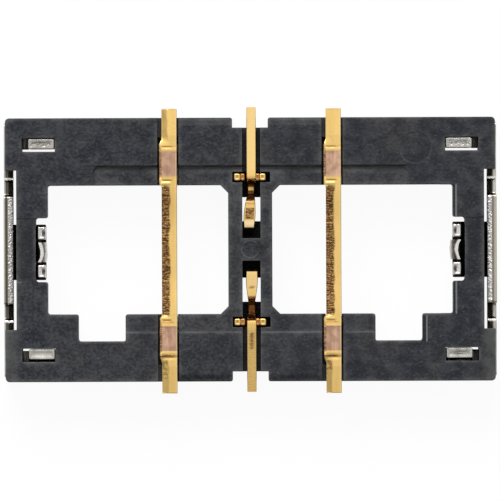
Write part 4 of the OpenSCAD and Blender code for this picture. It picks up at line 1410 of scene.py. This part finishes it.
def clip_fingers(under, shift, finger_in, bow_in, seed):
    """The bridge, two straight fingers and the bowed one. The dark spot on a finger's end is the product
    of two bell curves, cut off at its strongest."""
    finger_x = FINGER_X - finger_in
    bridge = under + [(finger_x, BASE, FOLD), (finger_x, FLANGE_TOP, 0)]
    grid, masks = formed_strip(bridge, THIN, 1, shift, BRIDGE_W, seed + 3)
    # Painted shade on the bridge, low under the moulding.
    masks["dull_and_shade"] = shade_at(grid, 0.7 * SHEET, FLANGE_TOP)
    parts = [(grid, masks)]
    upright = [(finger_x, FLANGE_TOP - SHEET / 4, 0), (finger_x, FINGER_TOP, 0)]
    for hand in (-1, 1):
        middle = shift + hand * FINGER_OUT
        shape = (FINGER_T, 1, middle, FINGER_W, seed + 5 + hand, FINGER_RIM, FINGER_SQUARE)
        grid, masks = formed_strip(upright, *shape)
        spot_in, spot_w, spot_l = FINGER_SPOT
        spot = bell(grid[..., 0], finger_x - spot_in, spot_w) * bell(grid[..., 1], middle, spot_l)
        at_end = eased(FINGER_TOP - SHEET / 4, FINGER_TOP - SHEET / 8, grid[..., 2])
        masks["dull_and_shade"] = at_end * np.clip(SPOT_DARK[0] * spot, 0, SPOT_DARK[1])
        # Painted highlight on the finger's end.
        masks["rubbed_and_highlight"] = FINGER_HIGHLIGHT * at_end
        parts.append((grid, masks))
    for _, masks in parts:
        masks["torn"] = LITTLE_TORN * masks["torn"]
    return parts + [bowed_finger(shift, finger_in, bow_in, seed + 9)]


print("the fingers are", FINGER_T / MM, "mm thick")

# %% [markdown]
# ## Corners and legs
# At each corner the sheet folds under the moulding and comes up again as a leg in a slot, where only its
# cut end shows. No two of the four ends look alike in the photograph: some are streaked, some are torn.

# %% Corners and legs of a clip
CORNER_OUT = mm(1.085)
CORNER_SHADE = 0.75
LEG_SHIFT = mm(0.009)
LEG_X = mm(1.781)
LEG_W = mm(0.222)
LEG_Y = mm(0.8965)
LEG_T = mm(0.087)
LEG_TOP = mm(0.58)
LEG_RIM = 0.12
STREAK = (0.3 * LEG_W, 0.2 * SHEET)


def clip_legs(under, shift, legs, seed):
    """For both corners, two folded plates and a leg. A leg's end is tinted evenly, plus a streak that is e
    to the power of minus x^4 + y^2, in streak sizes."""
    parts = []
    for hand in (-1, 1):
        outer = hand * (LEG_Y + CORNER_OUT + SHEET) / 2
        inner = hand * (LEG_Y + SHEET / 4)
        plates = [
            (LEG_X - LEG_W / 2 + SHEET / 4, outer, CORNER_OUT - LEG_Y - SHEET),
            (LEG_X + LEG_W / 2, inner, 1.4 * SHEET),
        ]
        for number, (reach, middle, width) in enumerate(plates):
            grid, masks = formed_strip(under + [(reach, BASE, 0)], THIN, 1, middle, width, seed + 20 + number)
            # Painted shade on the folded plates deep under the moulding.
            masks["dull_and_shade"] = CORNER_SHADE * shade_at(grid, 0.7 * SHEET, 1.1 * SHEET)
            parts.append((grid, masks))
        leg_y = hand * LEG_Y + shift
        leg = [(leg_y + hand * SHEET, LEG_T / 2, 0), (leg_y, LEG_T / 2, FOLD), (leg_y, LEG_TOP, 0)]
        grid, masks = formed_strip(leg, LEG_T, 0, LEG_X, LEG_W, seed + 30 + hand, LEG_RIM)
        streaky, torn, tint = legs[hand]
        from_x = (grid[..., 0] - LEG_X) / STREAK[0]
        from_y = (grid[..., 1] - leg_y) / STREAK[1]
        at_end = eased(LEG_TOP - SHEET / 4, LEG_TOP - SHEET / 8, grid[..., 2])
        masks["dull_and_shade"] = at_end * (tint + streaky * np.exp(-(from_x**4) - from_y**2))
        masks["torn"] = torn * masks["torn"]
        parts.append((grid, masks))
    return parts


print("the legs reach", LEG_TOP / MM, "mm up")

# %% End clips
CLIPS = {
    "end_fitting_left": {
        "side": -1, "seed": 91, "shift": mm(-0.018), "finger_in": 0.0, "bow_in": 0.0,
        "band": (0.6, 0.82, 0.85), "legs": {1: (0.0, 0.15, 0.08), -1: (0.75, 0.55, 0.21)},
    },
    "end_fitting_right": {
        "side": 1, "seed": 191, "shift": mm(-0.005), "finger_in": mm(0.016), "bow_in": mm(0.012),
        "band": (0.5, 0.64, 0.6), "legs": {1: (0.35, 0.7, 0.15), -1: (0.85, 0.35, 0.14)},
    },
}


def end_clip(node, side, seed, shift, finger_in, bow_in, band, legs):
    """All of one clip, made for the right-hand end and turned half round for the left."""
    out = np.abs(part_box(node))[:, 0].max()
    rim = even_rim(flat_rim(node, side * out) * np.array([side, 1]), EDGE_STEP)
    mid = out - SHEET / 2
    under = [(mid, rim[:, 1].min() + SHEET / 3, 0), (mid, BASE, FOLD)]
    parts = [clip_wall(rim, out, band, seed)]
    parts += clip_fingers(under, side * shift, finger_in, bow_in, seed)
    parts += clip_legs(under, side * LEG_SHIFT, legs, seed)
    shells = [shell(turned(grid, side), masks) for grid, masks in parts]
    put_piece(node + "_sheet", shells, bright, node)


for node, look in CLIPS.items():
    end_clip(node, **look)
